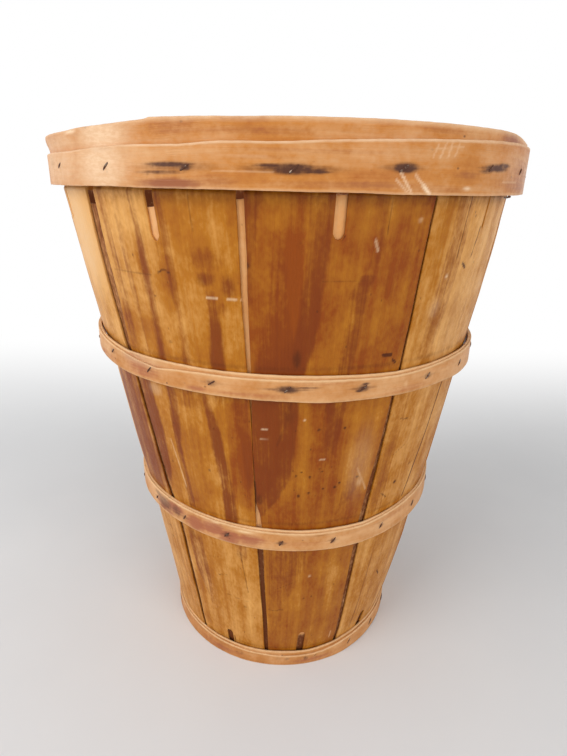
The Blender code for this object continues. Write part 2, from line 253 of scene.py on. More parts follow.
def plain_mesh(item, name):
    """The object as its modifiers leave it, as a new object with a plain mesh and no modifiers."""
    graph = bpy.context.evaluated_depsgraph_get()
    mesh = bpy.data.meshes.new_from_object(item.evaluated_get(graph), preserve_all_data_layers=True,
                                           depsgraph=graph)
    bpy.data.objects.remove(item, do_unlink=True)
    mesh.name = name
    mesh.shade_smooth()
    mesh.set_sharp_from_angle(angle=SHARP_EDGE)
    return linked(name, mesh)


print("geometry tree helpers ready")

# %% [markdown]
# Where a bent piece ends up
#
# Both bending trees move a flat piece's points to an angle, a radius and a height. The old basket is no
# longer round, so two weights say how much of a push at its left and right sides each angle takes, and its
# worn foot stands a little to the left.

# %% Shared parts of the bending trees
SIDE_STARTS = 0.45                      # how far out sideways the pushing starts, and where it is full
SIDE_FULL = 0.92
FOOT_SHIFT = -0.0012
FOOT_FADE = 0.07                        # height where the foot's shift has faded out


def side_weights(wiring, angle):
    """How much of the left and of the right shift an angle takes."""
    sideways = wiring.math("SINE", angle)
    return (wiring.ramp(wiring.times(sideways, -1.0), SIDE_STARTS, SIDE_FULL),
            wiring.ramp(sideways, SIDE_STARTS, SIDE_FULL))


def place_round_axis(wiring, geometry, angle, radius, height):
    """Moves every point to its angle and radius."""
    foot = wiring.ramp(height, 0.0, FOOT_FADE, FOOT_SHIFT, 0.0)
    where = wiring.point(wiring.total(wiring.times(radius, wiring.math("SINE", angle)), foot),
                         wiring.times(radius, wiring.math("COSINE", angle), -1.0), height)
    return wiring.add("GeometryNodeSetPosition", {"Geometry": geometry, "Position": where}).outputs[0]


print("side pushing is full from", round(math.degrees(math.asin(SIDE_FULL))), "degrees")

# %% [markdown]
# Bending a flat board onto the wall
#
# A cooper bends flat sheets round a form. The same is done here: each board is drawn flat, as wide as its
# angle would be on the rim's circle, and a tree turns "across" into an angle and "up" into a radius. Two
# curves over the height push the wall out or in at its left and right sides.

# %% Wall bending tree
SHIFT_RANGE = 0.02                      # the side curves run from minus to plus half of this
# height in mm, and how far the wall is pushed out there, in mm
LEFT_SHIFT = [
    (0, 1.0), (20, 1.2), (120, 0.3), (187, -0.3), (220, 1.4), (310, 1.2), (330, 0.8), (345, 1.8),
    (365, 3.2), (400, 3.4), (440, 3.4), (484, 3.0), (507, 0.6), (528, 0.2)]
RIGHT_SHIFT = [
    (0, -1.4), (20, -1.4), (120, 1.0), (187, 0.0), (220, 1.0), (320, -1.0), (345, -1.2), (400, -1.8),
    (440, -3.0), (484, -5.4), (507, -5.6), (528, -5.6)]
WALL_WAVES = (9.0, 14.0)                # waves in the wall for each radian round it and each metre up


def shift_points(shifts):
    """Heights and shifts in millimetres as points of a curve from 0 to 1."""
    return [(level / 1000 / HEIGHT, 0.5 + shift / 1000 / SHIFT_RANGE) for level, shift in shifts]


def build_wall_tree():
    tree, wiring, entry = geometry_tree("bend_on_wall", [
        "Middle", "Depth", "Unevenness", "Edge lift", "Half width"])
    place = wiring.axes(wiring.add("GeometryNodeInputPosition").outputs[0])
    across = wiring.math("DIVIDE", place["X"], RIM_RADIUS)
    angle = wiring.total(across, entry["Middle"])
    share = wiring.math("DIVIDE", place["Z"], HEIGHT)
    profile = wiring.curve(share, [(level / HEIGHT, radius / RIM_RADIUS) for level, radius in WALL]
                           + [(1.0, WALL[-1][1] / RIM_RADIUS)])
    radius = wiring.times(profile, RIM_RADIUS)
    for shifts, weight in zip((LEFT_SHIFT, RIGHT_SHIFT), side_weights(wiring, angle)):
        curve = wiring.math("SUBTRACT", wiring.curve(share, shift_points(shifts)), 0.5)
        radius = wiring.total(radius, wiring.times(curve, SHIFT_RANGE, weight))
    spot = wiring.point(wiring.times(angle, WALL_WAVES[0]), wiring.times(place["Z"], WALL_WAVES[1]))
    reach = wiring.math("ABSOLUTE", wiring.math("DIVIDE", across, entry["Half width"]))
    edge = wiring.math("POWER", reach, 4.0)
    radius = wiring.total(radius, wiring.times(wiring.about_zero(spot), entry["Unevenness"]),
                          wiring.times(edge, entry["Edge lift"]), wiring.times(entry["Depth"], -1.0))
    bent = place_round_axis(wiring, entry["Geometry"], angle, radius, place["Z"])
    close_tree(wiring, bent, entry["Material"])
    return tree


wall_tree = build_wall_tree()
print("wall tree:", len(wall_tree.nodes), "nodes")

# %% [markdown]
# Winding a strip into a hoop
#
# A hoop is one long strip wound twice round, so that its second turn climbs onto its first. A second tree
# winds a flat strip: distance along it becomes an angle, and the radius grows by one ply over a short ramp.

# %% Hoop winding tree
FLARE_RISE = 0.010                      # height over which an outward bend reaches its full size
HOOP_WAVES = (6.0, 40.0)                # waves in a hoop for each radian round it and each metre up


def build_hoop_tree():
    tree, wiring, entry = geometry_tree("wind_hoop", [
        "Start", "Radius", "Ply", "Climb at", "Climb length", "Left shift", "Right shift", "Left flare",
        "Flare above", "Unevenness"])
    place = wiring.axes(wiring.add("GeometryNodeInputPosition").outputs[0])
    turned = wiring.math("DIVIDE", place["X"], RIM_RADIUS)
    angle = wiring.total(turned, entry["Start"])
    past = wiring.math("SUBTRACT", turned, entry["Climb at"])
    climb = wiring.times(wiring.ramp(past, 0.0, entry["Climb length"]), entry["Ply"])
    above = wiring.math("SUBTRACT", place["Z"], entry["Flare above"])
    flare = wiring.times(wiring.ramp(above, 0.0, FLARE_RISE), entry["Left flare"])
    left, right = side_weights(wiring, angle)
    spot = wiring.point(wiring.times(angle, HOOP_WAVES[0]), wiring.times(place["Z"], HOOP_WAVES[1]))
    radius = wiring.total(entry["Radius"], climb,
                          wiring.times(left, wiring.total(entry["Left shift"], flare)),
                          wiring.times(right, entry["Right shift"]),
                          wiring.times(wiring.about_zero(spot), entry["Unevenness"]))
    wound = place_round_axis(wiring, entry["Geometry"], angle, radius, place["Z"])
    close_tree(wiring, wound, entry["Material"])
    return tree


hoop_tree = build_hoop_tree()
print("hoop tree:", len(hoop_tree.nodes), "nodes")

# %% [markdown]
# Thin strips of wood
#
# Staves and hoops are the same thing in the end: a flat sheet that is bent, thickened inwards with Solidify
# and given softly rounded edges with Bevel, so that the edges catch a thin line of light.

# %% Strip finisher
EDGE_ROUND = 0.0004
EDGE_ANGLE = math.radians(60.0)


def bent_strip(mesh, name, tree, values, thickness):
    """Bends a flat sheet with a tree, thickens it inwards and rounds its edges."""
    item = linked(name + "_flat", mesh)
    run_tree(item, tree, values)
    body = item.modifiers.new("thickness", "SOLIDIFY")
    body.thickness = thickness
    body.offset = -1.0
    edge = item.modifiers.new("edge", "BEVEL")
    edge.width = EDGE_ROUND
    edge.segments = 2
    edge.limit_method = "ANGLE"
    edge.angle_limit = EDGE_ANGLE
    return plain_mesh(item, name)


def dress(piece, nodes):
    """Says what a finished piece rides on and which nodes it stands for, and hides those nodes."""
    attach(piece, "root")
    if nodes:
        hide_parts(*nodes)
    return piece


print("strip finisher ready")

# %% [markdown]
# Marks on the wood
#
# Heartwood, rust and wear follow the boards, so they are stored on the boards: at every corner of the mesh,
# a share each for heartwood, for grime and painted shade, and for bare or pale wood and painted sheen, and
# a tone, which in places also paints the light. A painter could brush them in by hand. Short lists of
# streaks and blots, each with a place and a strength, keep them readable and the same on every run.

# %% Streaks and tones
END_FADE = 8.0                          # millimetres over which a streak fades at its ends
CORNER_REACH = 10.0                     # millimetres over which the corners of a course are rounded
STREAK_WAVES = (11.0, 4.3)              # millimetres, for the long and the short sway of its edges
STREAK_SOFT, STREAK_SWAY = 1.6, 0.2     # degrees, for a streak's edges
TONE_SOFT, TONE_SWAY = 4.0, 0.5


def smooth(value):
    value = np.clip(value, 0.0, 1.0)
    return value * value * (3.0 - 2.0 * value)


def eased(height, levels, values):
    """Reads a course of values at a height, with its corners rounded."""
    steps = np.linspace(-CORNER_REACH, CORNER_REACH, 5)
    return np.mean([np.interp(height + step, levels, values) for step in steps], axis=0)


def streak(angle, height, course, soft=STREAK_SOFT, sway=STREAK_SWAY):
    """Strength of a streak whose course lists (height in mm, left and right edge in degrees, strength)."""
    levels, left, right, strength = (np.array(column) for column in zip(*sorted(course)))
    long, short = STREAK_WAVES
    drift = sway * (np.sin(height / long + levels[0]) + 0.5 * np.sin(height / short + levels[-1]))
    inside = (smooth((angle - drift - eased(height, levels, left)) / soft + 0.5)
              * smooth((eased(height, levels, right) + 0.6 * drift - angle) / soft + 0.5))
    fade = (smooth((height - levels[0]) / END_FADE + 1.0)
            * smooth((levels[-1] - height) / END_FADE + 1.0))
    return inside * fade * np.interp(height, levels, strength)


def tones(angle, height, base, bands):
    """A base tone, with wide soft bands, given as streaks are, that make it deeper or paler."""
    result = np.full_like(angle, base)
    for course in bands:
        result += streak(angle, height, course, TONE_SOFT, TONE_SWAY)
    return result


print("streaks fade over", END_FADE, "mm")

# %% [markdown]
# Blots, scratches and layers
#
# Knots and rust stains are round or long blots, and cracks and scuffs are thin lines. A layer takes the
# strongest of everything in its lists at each corner, so that marks may overlap without growing darker.

# %% Blots, scratches and layers
MM_PER_DEGREE = 3.5                     # about how far apart two degrees lie on the wall


def blot(angle, height, spot):
    """Strength of a blot: (angle, height in mm, half width in degrees, half height in mm, strength)."""
    middle, level, half_angle, half_height, strength = spot
    distance = ((angle - middle) / half_angle) ** 2 + ((height - level) / half_height) ** 2
    return strength * np.exp(-distance ** 1.5)


def scratch(angle, height, start, end, width, strength):
    """Strength of a thin straight line between two (degrees, mm) points."""
    across, up = (angle - start[0]) * MM_PER_DEGREE, height - start[1]
    run, rise = (end[0] - start[0]) * MM_PER_DEGREE, end[1] - start[1]
    share = np.clip((across * run + up * rise) / (run * run + rise * rise), 0.0, 1.0)
    return strength * smooth(1.5 - np.hypot(across - share * run, up - share * rise) / width)


def layer(angle, height, streaks=(), blots=(), lines=()):
    """The strongest of all streaks, blots and thin lines at every point."""
    result = np.zeros_like(angle)
    for course in streaks:
        result = np.maximum(result, streak(angle, height, course))
    for spot in blots:
        result = np.maximum(result, blot(angle, height, spot))
    for line in lines:
        result = np.maximum(result, scratch(angle, height, *line))
    return result


def store_marks(mesh, heart, grime_and_shade, pale, tone):
    """Keeps the shares on the mesh's corners, where the wood materials read them."""
    marks = mesh.attributes.new("marks", "FLOAT_COLOR", "POINT")
    values = np.stack([heart, grime_and_shade, pale, tone], axis=-1).astype(np.float32)
    marks.data.foreach_set("color", values.ravel())


print("a degree on the wall counts as", MM_PER_DEGREE, "mm")

# %% [markdown]
# A flat sheet with a grid on it
#
# A stave could be one face, but bending, slots and marks all need corners between its edges. So each sheet
# is a grid. Its UV map is the flat sheet itself in metres, so the grain follows the board when it is bent.

# %% Sheet builder
def set_grain(mesh, flat):
    """Stores a flat place in metres for each corner as the board UV map, which the grain follows."""
    corners = np.empty(len(mesh.loops), np.int32)
    mesh.loops.foreach_get("vertex_index", corners)
    mesh.uv_layers.new(name="board").data.foreach_set("uv", flat[corners].astype(np.float32).ravel())


def grid_mesh(name, across, height, keep, flat):
    """A mesh from two arrays of places, rows by columns. keep says which cells are wood."""
    rows, columns = across.shape
    corners = np.stack([across, np.zeros_like(across), height], axis=-1).reshape(-1, 3)
    first = (np.arange(rows - 1)[:, None] * columns + np.arange(columns - 1)[None, :])[keep]
    faces = np.stack([first, first + 1, first + columns + 1, first + columns], axis=-1)
    mesh = bpy.data.meshes.new(name)
    mesh.from_pydata(corners.tolist(), [], faces.tolist())
    set_grain(mesh, flat)
    return mesh


def drop_loose(mesh):
    """Removes corners that no face uses."""
    shape = bmesh.new()
    shape.from_mesh(mesh)
    loose = [corner for corner in shape.verts if not corner.link_faces]
    bmesh.ops.delete(shape, geom=loose, context="VERTS")
    shape.to_mesh(mesh)
    shape.free()


def wavy(positions, seed, step, size):
    """A line of random ups and downs, one every step, for an edge that was cut by hand."""
    knots = np.arange(positions.min() - step, positions.max() + 2 * step, step)
    heights = np.random.default_rng(seed).uniform(-size, size, len(knots))
    return np.interp(positions, knots, heights)


print("sheet builder ready")

# %% [markdown]
# Grain
#
# All of the wood is the same kind of thin, knife-cut board. Its grain could be a picture, but noise that is
# stretched along the board costs nothing and never repeats: wide bands, lines and single fibres run along
# it, and a soft cloud and a fine mottle break them up.

# %% Grain patterns
# each pattern's frequencies per metre, across and along the grain
SWAY = (11.0, 4.0)
BANDS = (62.0, 2.2)
LINES = (330.0, 7.0)
FIBRES = (1500.0, 34.0)
CLOUD = (36.0, 26.0)
MOTTLE = (260.0, 190.0)
SPECKS = (130.0, 90.0)
SPECK_FIELDS = (47.0, 31.0)
SCUFFS = (420.0, 120.0)
SWAY_SIZE = 0.016                       # how far the grain lines wander, in metres
SPECK_SIZE = (0.14, 0.05)               # distance from a dot's middle where it fades, and where it is full
SPECK_FIELD = (0.5, 0.66)               # noise at which a field of dots starts, and where it is full
SPECK_STRENGTH = 0.6
GRAIN_ROUGHNESS = 0.57


def uneven(wiring, vector, frequencies, detail=3.0):
    """Noise about zero, with its own frequencies across and along the grain."""
    return wiring.about_zero(wiring.stretch(vector, *frequencies, 1.0), detail, GRAIN_ROUGHNESS)


def grain_patterns(wiring):
    """The board UV map as it is and swayed, and the noises that read them."""
    flat = wiring.add("ShaderNodeUVMap", uv_map="board").outputs[0]
    sway = wiring.point(wiring.times(uneven(wiring, flat, SWAY, 2.0), SWAY_SIZE))
    swayed = wiring.add("ShaderNodeVectorMath", {0: flat, 1: sway}, operation="ADD").outputs[0]
    patterns = {"bands": uneven(wiring, swayed, BANDS), "lines": uneven(wiring, swayed, LINES),
                "fibres": uneven(wiring, swayed, FIBRES, 2.0),
                "cloud": uneven(wiring, flat, CLOUD, 4.0), "mottle": uneven(wiring, flat, MOTTLE)}
    return flat, swayed, patterns


def specks(wiring, flat):
    """Small dark dots that come in fields."""
    dots = wiring.add("ShaderNodeTexVoronoi", {"Vector": wiring.stretch(flat, *SPECKS, 1.0), "Scale": 1.0})
    field = wiring.ramp(wiring.noise(wiring.stretch(flat, *SPECK_FIELDS, 1.0), 1.0), *SPECK_FIELD)
    return wiring.times(wiring.ramp(dots.outputs["Distance"], *SPECK_SIZE), field, SPECK_STRENGTH)


print("grain lines wander", SWAY_SIZE * 1000, "mm")

# %% [markdown]
# Wood
#
# The basket was varnished long ago: honey gold sapwood, red-brown heartwood in soft streaks, dark specks
# and worn, pale scratches. One function builds this from the grain patterns and from the marks stored on
# each piece. The staves, hoops and rim differ in their colours and their gloss.

# %% Wood material
SHEEN = 0.008                           # how much the varnish's own reflection lightens a colour
GLOSS_LEVEL = 0.16
FIBRE_DEPTH = 0.16                      # how much fibres, lines and mottle darken or lighten a colour
BUMP_HEIGHT = 0.0007
# shares at which heartwood, and dirt with painted shade, start to show and are full, and how much they
# cover then
HEART_EDGE = (0.06, 0.84)
HEART_COVER = 0.88
DIRT_AND_SHADE_EDGE = (0.05, 0.85)
DIRT_AND_SHADE_COVER = 0.95
SCUFF_EDGE = (0.38, 0.62, 0.72, 1.0)    # the same for worn wood and painted sheen, with its least and its full strength


def paint(red, green, blue):
    """A colour as it looks on a 0 to 255 screen scale, as linear values without the sheen."""
    shares = np.array([red, green, blue]) / 255.0
    linear = np.where(shares <= 0.04045, shares / 12.92, ((shares + 0.055) / 1.055) ** 2.4)
    return (*np.maximum(linear - SHEEN, 0.003).tolist(), 1.0)


def weighted(wiring, patterns, base, **weights):
    """A base value, plus each named pattern times its weight."""
    return wiring.total(base, *(wiring.times(patterns[name], weight) for name, weight in weights.items()))


def wood(name, sapwood, heart, grime_and_shade, pale_wood, gloss):
    """A wood material. sapwood is a row of colours from pale to deep."""
    material = bpy.data.materials.new(name)
    material.use_nodes = True
    material.node_tree.nodes.clear()
    wiring = Wiring(material.node_tree)
    flat, swayed, patterns = grain_patterns(wiring)
    marks = wiring.add("ShaderNodeAttribute", attribute_name="marks")
    shares = wiring.add("ShaderNodeSeparateColor", {0: marks.outputs["Color"]}).outputs

    tone = weighted(wiring, patterns, marks.outputs["Alpha"], bands=1.0, cloud=1.1, mottle=0.5, lines=0.28)
    colour = wiring.colours(tone, [paint(*stop) for stop in sapwood])
    patchy = wiring.times(shares[0], weighted(wiring, patterns, 1.0, bands=1.4, cloud=1.8, lines=0.8))
    frayed = weighted(wiring, patterns, patchy, lines=0.5, mottle=0.4)
    cover = wiring.times(wiring.ramp(frayed, *HEART_EDGE), HEART_COVER)
    colour = wiring.mix(cover, colour, paint(*heart))
    shade = weighted(wiring, patterns, 1.0, fibres=FIBRE_DEPTH, lines=FIBRE_DEPTH, mottle=FIBRE_DEPTH)
    grey = wiring.add("ShaderNodeCombineColor", {0: shade, 1: shade, 2: shade}).outputs[0]
    colour = wiring.mix(1.0, colour, grey, "MULTIPLY")
    # the grime share darkens the wood with real dirt and with painted shade
    soil_and_shade = wiring.times(shares[1], weighted(wiring, patterns, 1.0, mottle=1.0, lines=1.0, cloud=0.9))
    colour = wiring.mix(wiring.times(wiring.ramp(soil_and_shade, *DIRT_AND_SHADE_EDGE), DIRT_AND_SHADE_COVER), colour, paint(*grime_and_shade))
    speck = specks(wiring, flat)
    colour = wiring.mix(speck, colour, paint(*grime_and_shade))
    scuff = wiring.noise(wiring.stretch(swayed, *SCUFFS, 1.0), 4.0, 0.7)
    # the pale share lightens the wood as worn wood, as painted sheen and as painted edge highlight
    wear_and_sheen = wiring.times(shares[2], wiring.ramp(scuff, *SCUFF_EDGE))
    colour = wiring.mix(wear_and_sheen, colour, paint(*pale_wood))

    height = weighted(wiring, patterns, wiring.times(speck, -0.6), fibres=0.5, lines=0.6, bands=0.8,
                      mottle=0.45)
    bump = wiring.add("ShaderNodeBump", {"Strength": 0.5, "Distance": BUMP_HEIGHT, "Height": height})
    dull = weighted(wiring, patterns, gloss, cloud=0.3, mottle=0.2)
    dull = wiring.total(dull, wiring.times(wear_and_sheen, 0.22), wiring.times(shares[1], 0.12))
    shader = wiring.add("ShaderNodeBsdfPrincipled", {
        "Base Color": colour, "Roughness": dull, "Normal": bump.outputs[0],
        "Specular IOR Level": GLOSS_LEVEL})
    wiring.add("ShaderNodeOutputMaterial", {0: shader.outputs[0]})
    return material


print("varnish sheen:", SHEEN)

# %% [markdown]
# Five finishes
#
# The outer staves have the deepest varnish. The inner ones and the inner rim strip never had any, the hoops
# are rubbed paler, the rim is warm and a little glossier, and the bottom board is dull.

# %% Wood colours
stave_wood = wood("stave_wood", [(220, 162, 90), (176, 111, 36), (140, 70, 18)], heart=(122, 58, 28),
                  grime_and_shade=(84, 44, 18), pale_wood=(236, 205, 166), gloss=0.42)
inner_wood = wood("inner_wood", [(238, 186, 132), (224, 160, 98), (190, 118, 58)], heart=(160, 84, 44),
                  grime_and_shade=(98, 48, 19), pale_wood=(244, 212, 176), gloss=0.62)
hoop_wood = wood("hoop_wood", [(218, 166, 116), (192, 130, 74), (156, 92, 44)], heart=(162, 96, 70),
                 grime_and_shade=(82, 56, 48), pale_wood=(240, 206, 160), gloss=0.46)
rim_wood = wood("rim_wood", [(216, 164, 114), (194, 127, 64), (158, 84, 32)], heart=(146, 86, 60),
                grime_and_shade=(78, 50, 42), pale_wood=(240, 208, 172), gloss=0.38)
board_wood = wood("board_wood", [(206, 158, 106), (176, 124, 74), (150, 94, 50)], heart=(138, 84, 50),
                  grime_and_shade=(70, 48, 32), pale_wood=(220, 192, 156), gloss=0.7)
print("wood materials:", [item.name for item in (stave_wood, inner_wood, hoop_wood, rim_wood, board_wood)])

# %% [markdown]
# Where the staves end
#
# The joints between the staves have opened and closed with age, and none is straight. The ones that face
# the viewer are listed one by one, and the rest take the model's plain joint with a little wander.

# %% Joints
# by the stave to its left: height in mm, middle in degrees from the front, and width in degrees
SEEN_JOINTS = {
    9: [(0, -42.0, 1.8), (140, -42.3, 2.0), (165, -42.3, 2.1), (205, -43.5, 2.4), (250, -44.8, 2.1),
        (300, -46.0, 2.0), (360, -46.3, 2.6), (400, -46.2, 3.5), (440, -46.3, 3.6), (460, -46.1, 3.5),
        (484, -45.6, 3.2), (522, -45.6, 2.4)],
    10: [(0, -6.9, 1.9), (80, -7.8, 1.9), (130, -8.2, 1.9), (165, -8.3, 2.1), (196, -8.4, 1.9),
         (212, -8.6, 1.4), (226, -9.1, 0.14), (300, -9.2, 0.12), (335, -9.1, 0.5), (360, -9.2, 1.0),
         (400, -9.3, 1.3), (440, -9.25, 1.55), (486, -9.2, 1.45), (522, -9.2, 1.4)],
    1: [(0, 27.6, 1.8), (100, 27.3, 2.2), (165, 27.2, 2.2), (200, 27.2, 2.4), (240, 27.8, 2.0),
        (280, 28.4, 1.3), (330, 28.7, 1.1), (360, 28.8, 0.8), (440, 28.4, 0.55), (486, 28.3, 0.5),
        (522, 28.2, 0.5)],
}
JOINT_WANDER = 0.6                      # degrees


def stave_middle(index):
    """Angle from the front of stave 1 to 10, from -180 to 180."""
    return (FIRST_STAVE + STAVE_PITCH * (index - 1) + 180.0) % 360.0 - 180.0


def joint_course(index):
    """The joint after stave index, with angles measured from that stave's middle."""
    if index in SEEN_JOINTS:
        return [(level, middle - stave_middle(index), width) for level, middle, width in SEEN_JOINTS[index]]
    wander = np.random.default_rng(40 + index).uniform(-JOINT_WANDER, JOINT_WANDER, 4)
    return [(level, STAVE_PITCH / 2 + drift, width)
            for level, drift, width in zip((0, 180, 350, 522), wander, (2.4, 1.9, 1.4, 1.1))]


print("joints placed by eye:", sorted(SEEN_JOINTS))

# %% [markdown]
# Slots
#
# A flat board can't take a flared shape, so a slot was sawn in from each end of a stave, and the board
# closes or opens there. A boolean cut would make them too, but here a slot is only a place, a width and
# an end, and the grid of the sheet is laid out round it.

# %% Slots
# by stave: middle in degrees, width in mm, and height of its end in mm
SEEN_TOP_SLOTS = {10: (-28.0, 7.4, 455), 1: (8.9, 7.8, 460), 2: (47.4, 2.6, 462)}
SEEN_BASE_SLOTS = {10: (-25.4, 7.2, 32), 1: (9.2, 7.4, 43), 2: (42.8, 7.4, 41)}
TOP_SLOT = (6.5, 459.0)                 # width and height of the end of the others, in mm
BASE_SLOT = (5.0, 40.0)
SLOT_DRIFT = (1.2, 1.0, 5.0)            # how far a slot strays: degrees, and mm in its width and its end


def slot_for(index, seen, plain):
    """A stave's slot, with its middle measured from the stave's own."""
    if index in seen:
        middle, width, end = seen[index]
        return middle - stave_middle(index), width, end
    width, end = plain
    drift = np.random.default_rng(70 + index).uniform(-1.0, 1.0, 3) * SLOT_DRIFT
    return drift[0], width + drift[1], end + drift[2]


print("slots placed by eye:", len(SEEN_TOP_SLOTS), "at the top,", len(SEEN_BASE_SLOTS), "at the foot")

# %% [markdown]
# The look of each stave
#
# Four staves face the viewer, and each has its own streaks of heartwood, blots and scratches. They are
# listed stave by stave, in degrees from the front and millimetres up: courses for "heart" and
# "tone_and_light_bands", blots, and lines from one (degrees, mm) point to another with a width in
# millimetres and a strength. Some tone bands and pale blots are painted light: paler at the upper left
# where the light from the left falls, and paler patches of painted sheen on the staves at the right. The
# first stave, at the far left, is painted paler under the rim by that light, and is red-brown between the
# wall hoops.

# %% The stave at the far left
STAVE_LOOKS = {}
STAVE_LOOKS[9] = {
    "tone": 0.34,
    "tone_and_light_bands": [
        # painted light: this band makes the stave paler under the rim, where the light from the left falls
        [(370, -64, -47, -0.1), (410, -64, -47, -0.35), (486, -64, -47, -0.5)],
        [(196, -64, -47, 0.35), (335, -64, -47, 0.35), (350, -64, -47, 0.15)]],
    "heart": [
        [(196, -64, -43, 0.4), (215, -64, -43, 0.55), (300, -64, -44.5, 0.6), (332, -62, -45, 0.5)]],
    "heart_blots": [(-53.5, 150, 3, 12, 0.2)],
    "grime_blots": [(-53, 150, 0.8, 2, 0.6), (-53, 135, 0.8, 2, 0.6)],
    # painted highlight: a pale patch under the rim from the light at the left
    "pale_blots": [(-56, 450, 7, 45, 0.45)],
}
print("far left stave:", len(STAVE_LOOKS[9]["grime_blots"]), "dark spots")

# %% [markdown]
# The stave left of the middle
#
# Narrow red-brown streaks run up it, and a deeper band lies along its right edge between the wall hoops. A
# short bow-shaped crack stands under its slot, and a dashed white scuff runs from there towards the joint.

# %% The stave left of the middle
STAVE_LOOKS[10] = {
    "tone": 0.52,
    "tone_and_light_bands": [
        # painted light: this band makes the upper left of the stave paler, where the light from the left
        # falls
        [(395, -47, -30, -0.1), (420, -47, -30, -0.3), (486, -47, -30, -0.4)],
        [(222, -16, -9.3, 0.3), (245, -16.2, -9.3, 0.62), (270, -16.2, -9.3, 0.65),
         (300, -15.2, -9.3, 0.6), (332, -15, -9.3, 0.5)],
        [(0, -43, -8, -0.16), (170, -43, -8, -0.16)]],
    "heart": [
        [(216, -43, -41, 0.2), (235, -44.5, -40, 0.8), (265, -45, -39.2, 0.85), (300, -45.5, -39, 0.8),
         (330, -46.5, -40, 0.6), (345, -46, -41, 0.3)],
        [(205, -34.3, -31.2, 0.6), (240, -34.8, -32, 0.45), (270, -35, -32.4, 0.5),
         (300, -34.4, -30.8, 0.6), (330, -34, -30.4, 0.7), (356, -33.8, -31.4, 0.55),
         (440, -33.6, -31.2, 0.55), (486, -33.6, -31.6, 0.45)],
        [(356, -26, -23.6, 0.6), (400, -26.3, -24, 0.5), (440, -26.6, -24.3, 0.5),
         (486, -27.2, -25, 0.45)],
        [(222, -10.5, -9.3, 0.2), (250, -12, -9.3, 0.55), (300, -13, -9.3, 0.5), (332, -14.5, -9.3, 0.45)],
        [(332, -32, -9.3, 0.35), (322, -32, -9.3, 0.2)],
        [(366, -43.4, -40.6, 0.3), (400, -43.2, -40.4, 0.45), (440, -42.6, -40.2, 0.4),
         (486, -43, -41, 0.3)],
        [(360, -38.6, -36.8, 0.3), (430, -38.8, -36.8, 0.42), (486, -38.6, -37, 0.3)],
        [(200, -19.8, -15.3, 0.85), (225, -20, -15.8, 0.8), (250, -20.3, -16.4, 0.8),
         (280, -21, -17.4, 0.8), (305, -21.8, -18.6, 0.75), (330, -22.8, -20.6, 0.6)],
        [(355, -18.2, -14.6, 0.8), (380, -18.2, -14.6, 0.75), (400, -17.8, -15, 0.6),
         (416, -18, -15.6, 0.4)],
        [(318, -30, -21.5, 0.35), (324, -30, -21.5, 0.35)],
        [(60, -33.5, -31.5, 0.1), (80, -34, -31.4, 0.35), (100, -37, -31, 0.5), (130, -38.8, -31, 0.5),
         (160, -38.5, -31.5, 0.4), (172, -38, -32, 0.2)],
        [(148, -15, -13, 0.2), (160, -17, -12.8, 0.45), (170, -18, -12.7, 0.45)]],
    "heart_blots": [
        (-17.3, 427, 2.0, 6, 0.65), (-12.6, 422, 1.6, 9, 0.7), (-17, 441, 5, 9, 0.35),
        (-14.5, 405, 2.0, 6, 0.4)],
    "grime_blots": [
        (-18.5, 425, 1.6, 5, 0.3), (-29, 374, 0.7, 1.5, 0.5), (-36, 165, 1.8, 5, 0.3),
        (-23.3, 254, 0.5, 1.4, 0.8), (-16, 157, 1.8, 6, 0.3), (-16, 82, 0.8, 2, 0.5),
        (-31, 410, 0.4, 1.2, 0.6), (-20, 300, 0.4, 1.2, 0.5), (-38, 250, 0.4, 1.3, 0.6),
        (-26, 120, 0.5, 1.3, 0.6)],
    "dark_lines": [
        ((-14.0, 105), (-15.8, 160), 0.7, 0.5), ((-28.0, 440), (-28.0, 455), 0.6, 0.25),
        ((-24, 95), (-12, 90), 0.5, 0.4), ((-27, 120), (-22, 124), 0.5, 0.4),
        ((-30, 142), (-24, 147), 0.5, 0.35), ((-19.0, 460), (-19.2, 486), 0.6, 0.45),
        ((-43, 426), (-31, 426.5), 0.6, 0.35), ((-29, 428.5), (-27.3, 431.5), 0.9, 0.6),
        ((-27.3, 431.5), (-25.7, 428.5), 0.9, 0.6), ((-23.0, 18), (-23.0, 28), 0.9, 0.8),
        ((-9.2, 215), (-9.2, 250), 0.8, 0.6)],
    "pale_blots": [(-38.5, 325, 2.5, 6, 0.3)],
    "pale_lines": [
        ((-17.7, 413), (-15.2, 413.4), 0.6, 0.6), ((-13, 413), (-11, 413), 0.6, 0.65),
        ((-10, 413), (-9.4, 413), 0.6, 0.6), ((-36.5, 275), (-34, 225), 0.8, 0.4)],
}
print("left stave:", len(STAVE_LOOKS[10]["heart"]), "streaks")

# %% [markdown]
# The stave right of the middle
#
# This is the darkest one. A broad tongue of heartwood runs up its left half from the lower hoop, and small
# holes and specks are scattered where fruit or damp has marked it.

